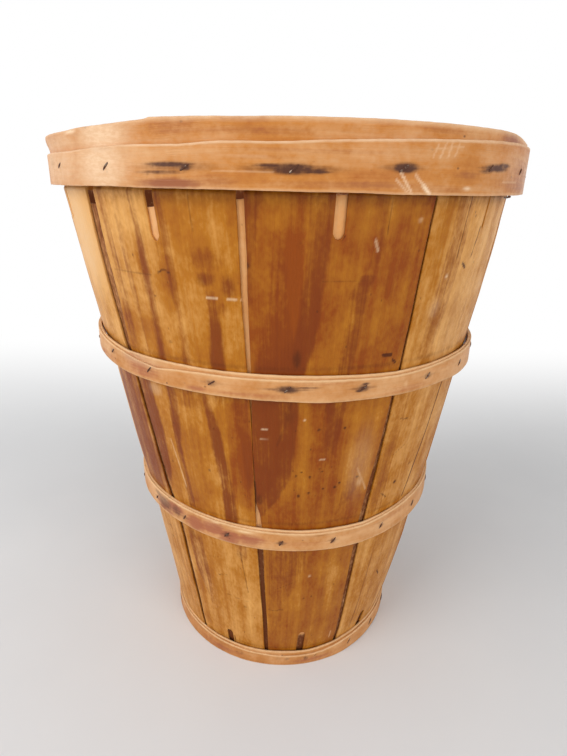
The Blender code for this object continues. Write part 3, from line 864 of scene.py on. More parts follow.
# %% The stave right of the middle
STAVE_LOOKS[1] = {
    "tone": 0.8,
    "tone_and_light_bands": [
        [(352, -9, 4, 0.3), (380, -9, 3, 0.3), (420, -9, 2, 0.2), (460, -9, 2, 0.1)],
        # painted sheen: this band is paler where the varnish catches the light
        [(236, 17, 27, -0.1), (250, 17, 27, -0.2), (300, 17, 27, -0.2), (332, 17, 27, -0.08)],
        [(0, -8, 27, -0.12), (165, -8, 27, -0.12)]],
    "heart": [
        [(350, -0.6, 3.2, 0.95), (370, 0.2, 5.2, 0.85), (385, 1, 5.8, 0.75), (400, 2, 6.5, 0.65),
         (440, 3.2, 7.4, 0.6), (486, 3.2, 7.8, 0.55)],
        [(352, -9, 3, 0.85), (368, -7.5, 2.6, 0.6), (385, -6, 1.5, 0.45), (410, -4.8, -0.2, 0.4),
         (440, -4.4, -0.6, 0.35), (460, -4.2, -1.4, 0.15)],
        [(350, 11.5, 15.2, 0.6), (360, 11.8, 15.2, 0.6), (400, 12.4, 16.2, 0.6), (431, 12.8, 17.3, 0.6),
         (433, 15.6, 17.6, 0.25), (450, 16.4, 18.6, 0.35), (486, 16.6, 19.2, 0.45)],
        [(410, -9.2, -7.6, 0.4), (440, -9.2, -7.0, 0.8), (470, -9.2, -6.0, 0.75), (486, -9.2, -5.4, 0.65)],
        [(205, -9.2, -8, 0.45), (212, -9.3, -7, 0.6), (222, -9.3, -4, 0.65), (235, -9.3, -1.4, 0.7),
         (250, -9.3, 0.7, 0.7), (270, -9.3, 2.3, 0.75), (300, -9.3, 2.6, 0.8), (332, -9.3, 3, 0.95)],
        [(268, 10, 13, 0.1), (285, 10, 14.2, 0.4), (300, 10, 14.6, 0.55), (332, 9.6, 15.2, 0.65)],
        [(214, 16, 18, 0.2), (222, 16.5, 19, 0.4), (235, 17, 23, 0.5), (247, 19, 23, 0.35)],
        [(45, -6, -3.6, 0.15), (60, -6.4, -1.6, 0.25), (80, -6.4, 0.6, 0.25), (100, -5.6, 2.2, 0.3),
         (130, -6, 6, 0.35), (150, -8, 8, 0.4), (168, -8, 8, 0.45)],
        [(440, 24, 27, 0.2), (485, 24, 27, 0.25)]],
    "heart_blots": [(-1.5, 93, 2.6, 7, 0.35)],
    "grime_blots": [
        (2, 368, 1.3, 9, 0.5), (-8.4, 438, 0.6, 2.5, 0.8), (8.5, 305, 0.5, 1.6, 0.9),
        (15.5, 305, 0.5, 1.6, 0.9), (22, 251, 0.6, 1.6, 0.9), (15, 243, 0.6, 1.6, 0.9),
        (16.3, 247, 0.5, 1.3, 0.9), (11.3, 243, 0.4, 1.2, 0.8), (7, 239, 0.5, 1.4, 0.8),
        (9.8, 265, 0.5, 1.2, 0.7), (10.5, 262, 0.4, 1.2, 0.7), (3, 258, 0.5, 1.3, 0.9),
        (4.5, 262, 0.5, 1.2, 0.8), (2, 264, 0.4, 1.0, 0.7), (7, 256.5, 0.5, 1.4, 0.9),
        (4, 236, 0.6, 2.0, 0.8), (-8, 230, 1.3, 7, 0.5), (0.5, 318, 2.2, 9, 0.35),
        (8.5, 101, 0.5, 1.5, 0.6), (11.5, 103, 0.5, 1.5, 0.6), (20.5, 115, 0.5, 1.5, 0.6)],
    "dark_lines": [
        ((9.75, 440), (9.75, 459), 0.6, 0.5), ((18.65, 460), (18.65, 486), 0.6, 0.6),
        ((9.5, 240), (9.5, 330), 0.6, 0.3), ((6.5, 428), (21, 429), 0.6, 0.35),
        ((-9.0, 215), (-9.0, 250), 0.9, 0.9), ((22.8, 368.6), (25, 368), 1.4, 0.9),
        ((25.7, 363.5), (26.8, 361), 0.9, 0.9), ((8.0, 458.6), (8.9, 457.2), 0.7, 0.8),
        ((8.9, 457.2), (9.9, 458.6), 0.7, 0.8), ((-3, 115), (5, 127), 0.5, 0.4),
        ((-6, 84), (-3, 83), 0.8, 0.55), ((-3, 83), (0, 85), 0.8, 0.55),
        ((-2.5, 290), (0.2, 315), 1.4, 0.3), ((0.2, 315), (0.8, 335), 2.2, 0.35)],
    # the wide blot at 22 degrees is a painted sheen; the small ones are pale marks in the wood
    "pale_blots": [
        (23, 245, 1.2, 6, 0.35), (4.5, 315, 0.3, 0.9, 0.9), (22, 265, 4, 35, 0.15),
        (10, 133, 0.5, 1.3, 0.7), (25.5, 469, 0.5, 1.6, 0.4)],
    "pale_lines": [
        ((-6.5, 305), (-5.1, 305.2), 0.55, 0.55), ((-6.9, 296), (-4.8, 296.2), 0.6, 0.6),
        ((9.2, 275), (11, 275), 0.5, 0.5), ((16.3, 456), (17.1, 449), 0.9, 0.5),
        ((21.5, 260), (25.7, 235), 0.8, 0.4), ((23.6, 28), (23.6, 38), 0.9, 0.5)],
}
print("right stave:", len(STAVE_LOOKS[1]["heart"]), "streaks")

# %% [markdown]
# The stave at the far right
#
# Pale gold, with one darker band near its left edge and a few short nicks. A long crack starts between the
# wall hoops and slants back to the left as it goes down.

# %% The stave at the far right
STAVE_LOOKS[2] = {
    "tone": 0.34,
    "tone_and_light_bands": [
        # painted sheen: the upper right of the stave is paler where the varnish catches the light
        [(370, 40, 62, -0.02), (410, 40, 62, -0.08), (486, 40, 62, -0.12)],
        [(200, 29, 34, 0.18), (330, 29, 34, 0.2), (360, 29, 33.5, 0.18), (486, 29, 33.5, 0.18)]],
    "heart": [
        [(356, 33.4, 38.6, 0.2), (380, 33.6, 39.6, 0.32), (400, 34, 40.7, 0.36), (440, 34.7, 41.2, 0.4),
         (486, 35, 40.3, 0.36)],
        [(355, 49, 51, 0.3), (400, 49.5, 51.5, 0.3)],
        [(200, 29.4, 34.8, 0.25), (330, 29.4, 34.8, 0.25)],
        [(25, 34.5, 35.1, 0.5), (60, 35.6, 36.2, 0.5), (100, 36.8, 37.4, 0.45), (160, 36.7, 37.3, 0.4)]],
    "grime_blots": [(38.5, 230, 0.8, 2.0, 0.8), (43, 285, 0.7, 2.2, 0.35), (44.5, 245, 1.4, 2.0, 0.35)],
    "dark_lines": [
        ((42.2, 435.5), (43.9, 431.5), 1.1, 0.9), ((33.5, 303.5), (36.8, 301), 0.8, 0.6),
        ((34.3, 265), (38.6, 272), 0.6, 0.45), ((33, 222.5), (36, 215), 0.9, 0.7),
        ((44, 105.5), (46, 98), 1.2, 0.8), ((39.2, 440), (39.2, 486), 0.7, 0.6),
        ((37.8, 400), (37.9, 440), 0.6, 0.4), ((51, 325), (50, 280), 1.1, 0.95),
        ((50, 280), (46, 205), 1.1, 0.95), ((46.3, 462), (45.4, 440), 0.7, 0.7),
        ((35.2, 30), (36.2, 60), 0.6, 0.5), ((36.2, 60), (36.9, 140), 0.6, 0.45)],
    # the wide blot at 45 degrees is a painted sheen
    "pale_blots": [(37, 427, 0.5, 1.5, 0.8), (35.5, 402, 2, 8, 0.2), (45, 380, 6, 60, 0.12)],
}
print("far right stave:", len(STAVE_LOOKS[2]["dark_lines"]), "cracks and nicks")

# %% [markdown]
# The other six staves
#
# Nobody sees them at first, so each gets a few streaks from a seeded random draw, and the back of the
# basket looks as old as its front. Dirt gathers on all ten along their edges. Painted shade, with some
# dirt, darkens them next to the hoops and under the rim.

# %% Looks of the other staves, and dirt and painted shade
PLAIN_TONE = 0.46
EDGE_DIRT = (0.18, 0.9)                 # its strength, and over how many degrees from an edge it fades
# heights in mm where painted shade and some dirt darken the staves next to the hoops and under the rim,
# with its reach and its strength
SHADE_AND_DIRT_LINES = [
    (484.0, 9.0, 0.3), (360.0, 2.6, 0.3), (332.5, 3.0, 0.25), (203.0, 2.6, 0.3), (173.5, 3.0, 0.25),
    (21.0, 3.0, 0.3)]


def random_streaks(index, middle):
    """A few streaks for a stave, from its left edge to its right."""
    draw = np.random.default_rng(500 + index)
    streaks = []
    for _ in range(draw.integers(2, 5)):
        place, width, lean = middle + draw.uniform(-15, 15), draw.uniform(1.2, 4.5), draw.uniform(-2, 2)
        low, high, strength = draw.uniform(0, 260), draw.uniform(300, 520), draw.uniform(0.4, 0.9)
        streaks.append([(low, place - width / 2, place + width / 3, strength * 0.6),
                        (high, place + lean - width / 2, place + lean + width / 2, strength)])
    return streaks


def look_of(index):
    """A stave's look, with every list in it."""
    empty = dict.fromkeys(("tone_and_light_bands", "heart_blots", "grime_blots", "dark_lines", "pale_blots",
                           "pale_lines"), ())
    plain = {"tone": PLAIN_TONE, "heart": random_streaks(index, stave_middle(index))}
    return {**empty, **STAVE_LOOKS.get(index, plain)}


def dirt_and_painted_shade(height, away):
    """Dirt along a stave's two edges, and painted shade with some dirt next to the hoops and under the rim.
    """
    dirt = EDGE_DIRT[0] * smooth(1.0 - away / EDGE_DIRT[1])
    for level, reach, strength in SHADE_AND_DIRT_LINES:
        dirt = np.maximum(dirt, strength * np.exp(-((height - level) / reach) ** 2))
    return dirt


print("staves with their own look:", sorted(STAVE_LOOKS))

# %% [markdown]
# Drawing a stave flat
#
# A stave is drawn between its two joints on a grid whose columns follow its edges and its slots. The cells
# in a slot are left out, and the corners at a slot's end are drawn into a half circle, as the saw left it.

# %% Rows and edges of a stave
SLOT_COLUMNS = 5
SLOT_END_FADE = 0.012                   # height over which a slot's round end spreads into the rows
FOOT_GAP = 0.0011                       # the staves' worn lower ends stand this far off the floor
LONG_WAVES = (0.021, 0.05)              # step in metres and size in degrees of the waves in an edge
SHORT_WAVES = (0.005, 0.03)
NO_SLOT = (0.0, 4.0, None)


def stave_rows(base_end, top_end, top, row):
    """Row heights that hit both slot ends."""
    stops = [0.0, base_end, top_end, top]
    pieces = []
    for low, high in zip(stops, stops[1:]):
        pieces.append(np.linspace(low, high, max(2, round((high - low) / row) + 1))[:-1])
    return np.concatenate(pieces + [[top]])


def edge_line(course, side, rows, seed):
    """The stave's edge on one side of a joint, in degrees at each row. side is 1 or -1."""
    levels, middles, widths = (np.array(column) for column in zip(*course))
    line = np.interp(rows * 1000, levels, middles) + side * np.interp(rows * 1000, levels, widths) / 2
    return line + wavy(rows, seed, *LONG_WAVES) + wavy(rows, seed + 1, *SHORT_WAVES)


print("slots are", SLOT_COLUMNS - 1, "cells wide")

# %% [markdown]
# From two edges to a sheet
#
# The columns run from the left edge to the slot, across the slot, and on to the right edge. Every corner
# also gives its angle, its height and its distance from the edges, by which the marks are painted.

# %% Flat stave
def stave_sheet(name, index, left, right, top, grid, top_slot=NO_SLOT, base_slot=NO_SLOT, tilt=0.0):
    """A flat stave, and the angle, height and distance from its edges of every corner.

    Angles are in degrees from its middle. tilt is how far its top edge rises, in metres per degree.
    """
    cell, row = grid
    top_end = top_slot[2] / 1000 if top_slot[2] else top - row
    base_end = base_slot[2] / 1000 if base_slot[2] else row
    rows = stave_rows(base_end, top_end, top, row)
    starts, ends = edge_line(left, 1, rows, 100 * index + 3), edge_line(right, -1, rows, 100 * index + 5)
    reach = np.degrees(1.0 / wall_radius(rows)) / 1000      # degrees per millimetre at each row
    share = np.clip((rows - base_end) / (top_end - base_end), 0, 1)
    middle = base_slot[0] + (top_slot[0] - base_slot[0]) * share
    half = (base_slot[1] + (top_slot[1] - base_slot[1]) * share) / 2 * reach
    side_columns = max(4, round(math.radians(STAVE_PITCH) / 2 * RIM_RADIUS / cell))
    side_part = np.linspace(0, 1, side_columns + 1)[:-1]
    slot_part = np.linspace(-1, 1, SLOT_COLUMNS)
    angle = np.concatenate([
        starts[:, None] + (middle - half - starts)[:, None] * side_part[None, :],
        middle[:, None] + half[:, None] * slot_part[None, :],
        ends[:, None] + (middle + half - ends)[:, None] * side_part[::-1][None, :]], axis=1)
    height = np.maximum(rows[:, None] * (1.0 + tilt * angle / top), FOOT_GAP)
    away = np.minimum(angle - starts[:, None], ends[:, None] - angle)
    columns = np.arange(angle.shape[1])
    in_slot = (columns >= side_columns) & (columns < side_columns + SLOT_COLUMNS)
    bow = np.zeros(angle.shape[1])
    bow[in_slot] = np.sqrt(np.clip(1 - slot_part ** 2, 0, 1))
    keep = np.ones((len(rows) - 1, angle.shape[1] - 1), bool)
    slot_cells = in_slot[:-1] & in_slot[1:]
    if top_slot[2]:
        fade = smooth(1 - (top_end - rows) / SLOT_END_FADE)
        height -= bow[None, :] * (fade * top_slot[1] / 2000)[:, None]
        keep[rows[:-1] >= top_end - 1e-6] &= ~slot_cells
    if base_slot[2]:
        fade = smooth(1 - (rows - base_end) / SLOT_END_FADE)
        height += bow[None, :] * (fade * base_slot[1] / 2000)[:, None]
        keep[rows[1:] <= base_end + 1e-6] &= ~slot_cells
    across = np.radians(angle) * RIM_RADIUS
    flat = np.stack([across, height], axis=-1).reshape(-1, 2) + np.array((0.31 * index, 0.77 * index))
    mesh = grid_mesh(name, across, height, keep, flat)
    return mesh, angle.ravel(), height.ravel() * 1000, away.ravel()


print("a flat stave is", round(STAVE_TOP * 1000), "mm tall")

# %% [markdown]
# Outer staves
#
# Each stave is a sheet two millimetres thick, with a slot sawn in from the top and one from the foot. The
# four that face the viewer get a finer grid, because their marks are stored at its corners.

# %% Build the outer staves
FINE_GRID = (0.0011, 0.0016)            # width and height of a cell where the marks are finest
PLAIN_GRID = (0.0018, 0.0034)
STAVE_THICKNESS = 0.0019
UNEVENNESS = 0.0012
EDGE_LIFT = 0.0002                      # how far a stave's edges stand out, as it dries and cups


def bend_stave(mesh, name, middle, depth, material, lift):
    """Bends a flat stave onto the wall."""
    drop_loose(mesh)
    values = {"Middle": math.radians(middle), "Depth": depth, "Unevenness": UNEVENNESS, "Edge lift": lift,
              "Half width": math.radians(STAVE_PITCH / 2), "Material": material}
    return bent_strip(mesh, name, wall_tree, values, STAVE_THICKNESS)


def outer_stave(index):
    middle, look = stave_middle(index), look_of(index)
    before = joint_course((index - 2) % STAVE_COUNT + 1)
    left = [(level, place - STAVE_PITCH, width) for level, place, width in before]
    name = f"outer_board_{index:02d}"
    grid = FINE_GRID if index in STAVE_LOOKS else PLAIN_GRID
    mesh, angle, height, away = stave_sheet(
        name, index, left, joint_course(index), STAVE_TOP, grid,
        slot_for(index, SEEN_TOP_SLOTS, TOP_SLOT), slot_for(index, SEEN_BASE_SLOTS, BASE_SLOT))
    front = angle + middle
    # the grime share also carries the painted shade next to the hoops and under the rim
    grime_and_shade = np.maximum(layer(front, height, (), look["grime_blots"], look["dark_lines"]),
                       dirt_and_painted_shade(height, away))
    store_marks(mesh, layer(front, height, look["heart"], look["heart_blots"]), grime_and_shade,
                layer(front, height, (), look["pale_blots"], look["pale_lines"]),
                tones(front, height, look["tone"], look["tone_and_light_bands"]))
    piece = bend_stave(mesh, name, middle, 0.0, stave_wood, EDGE_LIFT)
    return dress(piece, [f"outer_stave_{index:02d}"])


outer_boards = [outer_stave(index) for index in range(1, STAVE_COUNT + 1)]
print("outer boards:", len(outer_boards), "with", sum(len(b.data.polygons) for b in outer_boards), "faces")

# %% [markdown]
# Inner staves
#
# The second layer is bare, pale wood. It shows as light strips through the slots and the open joints, and
# as the whole inside of the basket. These are the same sheets, without slots, set one layer deeper. Behind
# the joints and the slots at the foot, the inner stave is darkened, partly as stain where a joint let in
# dirt and partly as painted shade in the gaps. Painted shade also darkens the inside under the rim at the
# back.

# %% Build the inner staves
INNER_GRID = (0.0030, 0.0055)
INNER_TURN = 12.0                       # degrees from an outer stave's middle to the inner one's
INNER_DEPTH = 0.0021
INNER_EDGES = [(0, 17.6, 0.5), (522, 17.6, 0.3)]
# top edge, and its rise in metres per degree
INNER_TOPS = {9: (0.474, 0.0), 10: (0.4787, 0.00035), 1: (0.4845, 0.0)}
# dark inner wood behind the joints and the foot slots: partly stain and partly painted shade in the gaps,
# most of all behind the lower joint left of the middle and behind the foot slots
DARK_JOINTS_AND_SHADE = [
    [(0, -46, -40, 0.7), (205, -47, -41, 0.7), (300, -49.5, -43, 0.68), (440, -51, -44, 0.56),
     (520, -50, -43, 0.56)],
    [(0, -10.5, -5.5, 0.95), (180, -11, -6, 0.9), (190, -11, -6, 0.5), (198, -11, -6, 0.1)],
    [(338, -10.6, -9.7, 0.38), (486, -10.6, -9.75, 0.38)],
    [(0, 23.5, 30, 0.74), (260, 24.5, 30.5, 0.7), (520, 26, 31, 0.6)],
    [(0, -28, -22.6, 0.9), (37, -28, -22.6, 0.9)], [(0, 6, 12, 0.9), (37, 6, 12, 0.9)],
    [(0, 38, 45, 0.9), (37, 38, 45, 0.9)]]
# painted shade: dark patches on the inner staves under the rim at the back darken the inside that shows
# through the openings at the top
PAINTED_INTERIOR_SHADE = [
    (-92, 470, 14, 18, 0.95), (-122, 468, 14, 20, 0.95), (-160, 468, 14, 20, 0.95),
    (160, 468, 16, 20, 0.95), (95, 470, 14, 18, 0.95)]
BEHIND_JOINT = [[(0, 3.5, 8.5, 0.6), (520, 3.5, 8.5, 0.5)]]
INNER_TONE = 0.35
INNER_EDGE_DIRT = 0.2
INNER_HEART_SHARE = 0.7                 # bare wood shows its heart streaks less
FRONT_HALF = 60.0                       # degrees: nearer to the front, only the dark joints and their painted shade darken the wood


def inner_stave(index):
    middle = stave_middle(index) + INNER_TURN
    name = f"inner_board_{index:02d}"
    left = [(level, -place, width) for level, place, width in INNER_EDGES]
    top, tilt = INNER_TOPS.get(index, (INNER_TOP, 0.0))
    mesh, angle, height, away = stave_sheet(name, index + 20, left, INNER_EDGES, top, INNER_GRID, tilt=tilt)
    front = angle + middle
    heart = INNER_HEART_SHARE * layer(front, height, random_streaks(index + 20, middle))
    behind = BEHIND_JOINT if abs(middle) > FRONT_HALF else []
    # this grime share is partly painted shade: in the gaps behind the joints and slots, and inside under
    # the rim
    grime_and_shade = np.maximum(layer(front, height, DARK_JOINTS_AND_SHADE, PAINTED_INTERIOR_SHADE), layer(angle, height, behind))
    grime_and_shade = np.maximum(grime_and_shade, INNER_EDGE_DIRT * smooth(1.0 - away))
    store_marks(mesh, heart, grime_and_shade, np.zeros_like(heart), np.full_like(heart, INNER_TONE))
    piece = bend_stave(mesh, name, middle, INNER_DEPTH, inner_wood, 0.0)
    return dress(piece, [f"inner_stave_{index:02d}"])


inner_boards = [inner_stave(index) for index in range(1, STAVE_COUNT + 1)]
print("inner boards:", len(inner_boards))

# %% [markdown]
# Hoops
#
# The hoops are thin strips with their grain running round. Cut by a knife, they have ragged edges, and
# where two plies lie on each other their edges never quite meet, so a light line runs along the top. A
# strip is drawn flat over its whole wound length, with its own top and bottom line.

# %% Flat strip
# steps in degrees and sizes in metres of the waves in a strip's edges
HOOP_WAVINESS = ((7.3, 0.00022), (0.9, 0.00010))
# degrees along a strip where its second turn starts to sink, and over how many it does
SECOND_TURN = (345.0, 15.0)
BOTTOM_SINKS = 0.1                      # the bottom line sinks by this share of it
LOWEST = 0.0002                         # no strip reaches below this height


def line_at(points, angle):
    """Height in metres at angles round the basket of a line of (degrees from the front, mm) points."""
    places, levels = zip(*points)
    return np.interp((angle + 180.0) % 360.0 - 180.0, places, levels) / 1000


def strip_sheet(name, seed, start, length, grid, top, bottom, drop=None):
    """A flat strip wound from start over length, in degrees. drop is how much lower its second turn is."""
    cell, rows = grid
    turned = np.linspace(0, length, round(math.radians(length) * RIM_RADIUS / cell))
    angle = start + turned
    high, low = line_at(top, angle), line_at(bottom, angle)
    for number, (step, size) in enumerate(HOOP_WAVINESS):
        high = high + wavy(turned, seed + 2 * number, step, size)
        low = low + wavy(turned, seed + 2 * number + 1, step, size)
    if drop:
        fall = line_at(drop, angle) * smooth((turned - SECOND_TURN[0]) / SECOND_TURN[1])
        high = high - fall
        low = low - fall * BOTTOM_SINKS
    low, high = np.maximum(low, LOWEST), np.minimum(high, HEIGHT)
    share = np.linspace(0, 1, rows)[:, None]
    height = low[None, :] + (high - low)[None, :] * share
    across = np.repeat(np.radians(turned)[None, :] * RIM_RADIUS, rows, axis=0)
    keep = np.ones((rows - 1, len(turned) - 1), bool)
    flat = np.stack([height + 0.37 * seed, across], axis=-1).reshape(-1, 2)
    mesh = grid_mesh(name, across, height, keep, flat)
    front = (np.repeat(angle[None, :], rows, axis=0) + 180.0) % 360.0 - 180.0
    return mesh, front.ravel(), height.ravel() * 1000, np.repeat(share, len(turned), axis=1).ravel()


print("strips wave by", [round(size * 1000, 2) for _, size in HOOP_WAVINESS], "mm")

# %% [markdown]
# Rust stains and pale edges
#
# Rust from each staple ran along the grain, as one short, strong stain with a long, thin one over it. The
# staples that face the viewer are listed one by one, and one every 18 degrees fills the rest of the hoop.

# %% Stains, staples, and pale edges on the hoops
STAPLE_STEP = 18.0
STAPLE_ROOM = 8.0                       # degrees beside a seen staple where no other is set
STAPLE_DRIFT = 1.5                      # degrees, and mm of height
LONG_STAIN = (2.2, 0.45, 0.7)           # length, height and strength, as shares of the short stain's


def stains_at(angle, height, staples, reach, size):
    """Rust stains at (angle, height in mm, strength, length share). reach is in degrees, size in mm."""
    result = np.zeros_like(angle)
    longer, thinner, weaker = LONG_STAIN
    for place, level, strength, share in staples:
        away = (angle - place + 180.0) % 360.0 - 180.0
        for spot in ((0.0, level, reach * share, size, strength),
                     (0.0, level, reach * share * longer, size * thinner, strength * weaker)):
            result = np.maximum(result, blot(away, height, spot))
    return result


def all_staples(seen, level, seed):
    """The seen staples, and others at about the same level round the rest of the hoop."""
    draw = np.random.default_rng(seed)
    full = list(seen)
    for place in np.arange(-180.0, 180.0, STAPLE_STEP):
        if min(abs((place - other[0] + 180.0) % 360.0 - 180.0) for other in seen) > STAPLE_ROOM:
            full.append((place + draw.uniform(-STAPLE_DRIFT, STAPLE_DRIFT),
                         level + draw.uniform(-STAPLE_DRIFT, STAPLE_DRIFT),
                         draw.uniform(0.2, 0.8), draw.uniform(0.6, 1.3)))
    return full


def worn_and_lit_edges(share, top, bottom, bottom_strength):
    """Pale wood at a strip's edges, partly wear and partly a painted highlight where an edge catches light.
    top and bottom say at which share it starts and over what it grows.
    """
    return np.maximum(smooth((share - top[0]) / top[1]),
                      bottom_strength * smooth((bottom[0] - share) / bottom[1]))


print("staples every", STAPLE_STEP, "degrees")

# %% [markdown]
# The two wall hoops and the base hoop
#
# Each is wound twice, climbing by one ply at a lap at the back. Its look lists its top and bottom line, how
# much lower the second turn's top is, how far it is pushed out at the left and right, and its marks.

# %% Wall hoop builder
HOOP_PLY = 0.0018
PLY_GAP = 0.00005
HOOP_GRID = (0.0018, 20)                # length of a cell, and rows
HOOP_UNEVENNESS = 0.0008
HOOP_TOUCH = 0.0003                     # gap between a hoop and the wall at the hoop's top
RAMP = 12.0                             # degrees over which a hoop climbs onto itself
HOOP_STAIN_SIZE = (2.3, 3.2)            # half length in degrees, and half height in mm
# pale hoop edges: partly worn wood and partly a painted highlight where an edge catches light
HOOP_EDGE_PALING = ((0.88, 0.10), (0.08, 0.06), 0.55)
HOOP_EDGE_PALING_SHARE = 0.65
LOWER_DARKENING = (0.2, 0.25)                # darker up to this share of a hoop's height, and how strongly


def hoop_surface(node):
    """The radius of a wound hoop's outer face at the front."""
    return float(wall_radius(top_of(node))) + HOOP_TOUCH + 2 * HOOP_PLY


def wall_hoop(name, node, seed, lap, look):
    """A strip wound twice, whose second turn ends over the start of its first."""
    mesh, angle, height, share = strip_sheet(name, seed, lap, 720.0 - RAMP, HOOP_GRID, look["top"],
                                             look["bottom"], look["drop"])
    heart = layer(angle, height, (), look["heart"])
    grime_and_shade = np.maximum(stains_at(angle, height, look["staples"], *HOOP_STAIN_SIZE),
                       layer(angle, height, (), look["grime_and_shade"]))
    # darker towards the bottom of each hoop
    grime_and_shade = np.maximum(grime_and_shade, LOWER_DARKENING[1] * smooth((LOWER_DARKENING[0] - share) / LOWER_DARKENING[0]))
    pale = np.maximum(layer(angle, height, (), look["pale"]),
                      HOOP_EDGE_PALING_SHARE * worn_and_lit_edges(share, *HOOP_EDGE_PALING))
    store_marks(mesh, heart, grime_and_shade, pale, np.full_like(heart, look["tone"]))
    left, right = look["shifts"]
    piece = bent_strip(mesh, name, hoop_tree, {
        "Start": math.radians(lap), "Radius": hoop_surface(node) - HOOP_PLY, "Ply": HOOP_PLY,
        "Climb at": math.radians(360.0 - RAMP), "Climb length": math.radians(RAMP), "Left shift": left,
        "Right shift": right, "Flare above": HEIGHT, "Unevenness": HOOP_UNEVENNESS,
        "Material": hoop_wood}, HOOP_PLY - PLY_GAP)
    return dress(piece, [node])


print("hoop ply:", HOOP_PLY * 1000, "mm")

# %% [markdown]
# The upper hoop
#
# Its second turn hangs a few millimetres lower across the front, most of all at the left, so both of its
# edges show there. The staples in the middle have bled dark rust, and its left end is stained.

# %% Upper hoop
# staples: place in degrees, height in mm, strength of the stain, and its length
UPPER_LOOK = {
    "top": [
        (-180, 357), (-90, 362), (-66, 361), (-54, 358.5), (-45, 356.5), (0, 355.6), (15, 354.5),
        (27, 353), (40, 354), (54, 354.5), (66, 354), (90, 354), (180, 357)],
    "bottom": [
        (-180, 336), (-90, 342), (-66, 341.5), (-54, 339.5), (-45, 337.5), (-15, 336), (0, 335), (8, 334),
        (25, 334), (45, 334.5), (54, 333), (66, 332.5), (90, 333), (180, 336)],
    "drop": [
        (-180, 0.5), (-60, 1.0), (-47, 2.0), (-40, 5.0), (-34, 7.0), (-28, 4.2), (-20, 3.2), (0, 2.8),
        (30, 2.4), (45, 1.0), (180, 0.5)],
    "shifts": (0.0045, 0.0),
    "tone": 0.3,
    "staples": all_staples([
        (-52.5, 350.5, 0.4, 0.6), (-36.5, 346, 0.3, 0.5), (-18, 346, 0.5, 0.8), (0, 345, 0.8, 1.3),
        (18, 344, 0.7, 0.8), (37.5, 344.5, 0.5, 0.8), (54, 343.5, 0.4, 0.7)], 346, 21),
    "heart": [
        (-39, 347, 7, 9, 0.6), (-42, 353, 5, 5, 0.7), (-58, 343, 8, 6, 0.3), (70, 346, 9, 10, 0.3),
        (8, 350, 9, 2.5, 0.3), (-8, 339, 12, 2.5, 0.35), (30, 338, 9, 3, 0.35), (-22, 339, 3, 3, 0.5)],
    "pale": [(30, 342, 0.5, 3, 0.3), (-40, 352, 9, 4, 0.35), (-59, 350, 5, 4, 0.3)],
    "grime_and_shade": [(4.5, 346.6, 3.2, 0.9, 0.7), (18.5, 347.2, 1.1, 1.4, 0.8), (17, 342, 1.2, 1.4, 0.7)],
}
upper_band = wall_hoop("upper_band", "upper_hoop", seed=11, lap=195.0, look=UPPER_LOOK)
print("upper hoop:", len(upper_band.data.polygons), "faces")

# %% [markdown]
# The lower hoop
#
# The left half of its front is the most soiled part of the basket: dark brown patches with pale spots
# between them, where something wet once lay.

# %% Lower hoop
LOWER_LOOK = {
    "top": [
        (-180, 199), (-60, 201), (-45, 201), (-9, 197.6), (0, 196.6), (27, 194.8), (38, 197), (50, 199.5),
        (180, 199)],
    "bottom": [
        (-180, 177), (-60, 181), (-36, 181), (-30, 179.5), (-9, 176.5), (0, 176), (15, 175), (25, 174.5),
        (50, 176), (180, 177)],
    "drop": [(-180, 0.6), (-20, 0.6), (-9, 1.6), (9, 2.2), (27, 1.6), (40, 0.6), (180, 0.6)],
    "shifts": (0.0, 0.0),
    "tone": 0.26,
    "staples": all_staples([
        (-52.5, 189.5, 0.5, 0.5), (-36, 188.5, 0.5, 0.5), (-19, 186, 0.6, 0.5), (-1, 184.5, 0.6, 0.5),
        (16, 184, 0.6, 0.5), (34.5, 185, 0.5, 0.5), (53, 187, 0.6, 0.6)], 187, 22),
    "heart": [
        (-31, 187, 5, 9, 0.7), (-24, 190, 4.5, 8, 0.9), (-18, 184, 4.5, 8, 0.9), (-11, 185, 5, 7, 0.7),
        (-26, 195, 3, 3, 0.4), (-48, 189, 5.5, 9, 0.85), (-41, 193, 5, 7, 0.85), (-44, 184, 3, 5, 0.6),
        (10, 183, 14, 4, 0.2), (40, 192, 9, 4, 0.25)],
    "pale": [(-13, 193, 3, 1.4, 0.9), (-23, 197, 1.6, 1.6, 0.8), (-50, 194, 6, 5, 0.2)],
    "grime_and_shade": [
        (-47, 190, 5, 9, 0.55), (-51, 196, 3, 3, 0.5), (-40, 190, 3, 7, 0.5), (10, 191, 8, 1.5, 0.25),
        (35, 189, 5, 1.5, 0.3)],
}
lower_band = wall_hoop("lower_band", "lower_hoop", seed=13, lap=159.0, look=LOWER_LOOK)
print("lower hoop:", len(lower_band.data.polygons), "faces")

# %% [markdown]
# The base hoop
#
# It is rubbed and dirty from the ground, and its staples have sunk into the wood. Its top edge sags towards
# the front, where its two turns part.

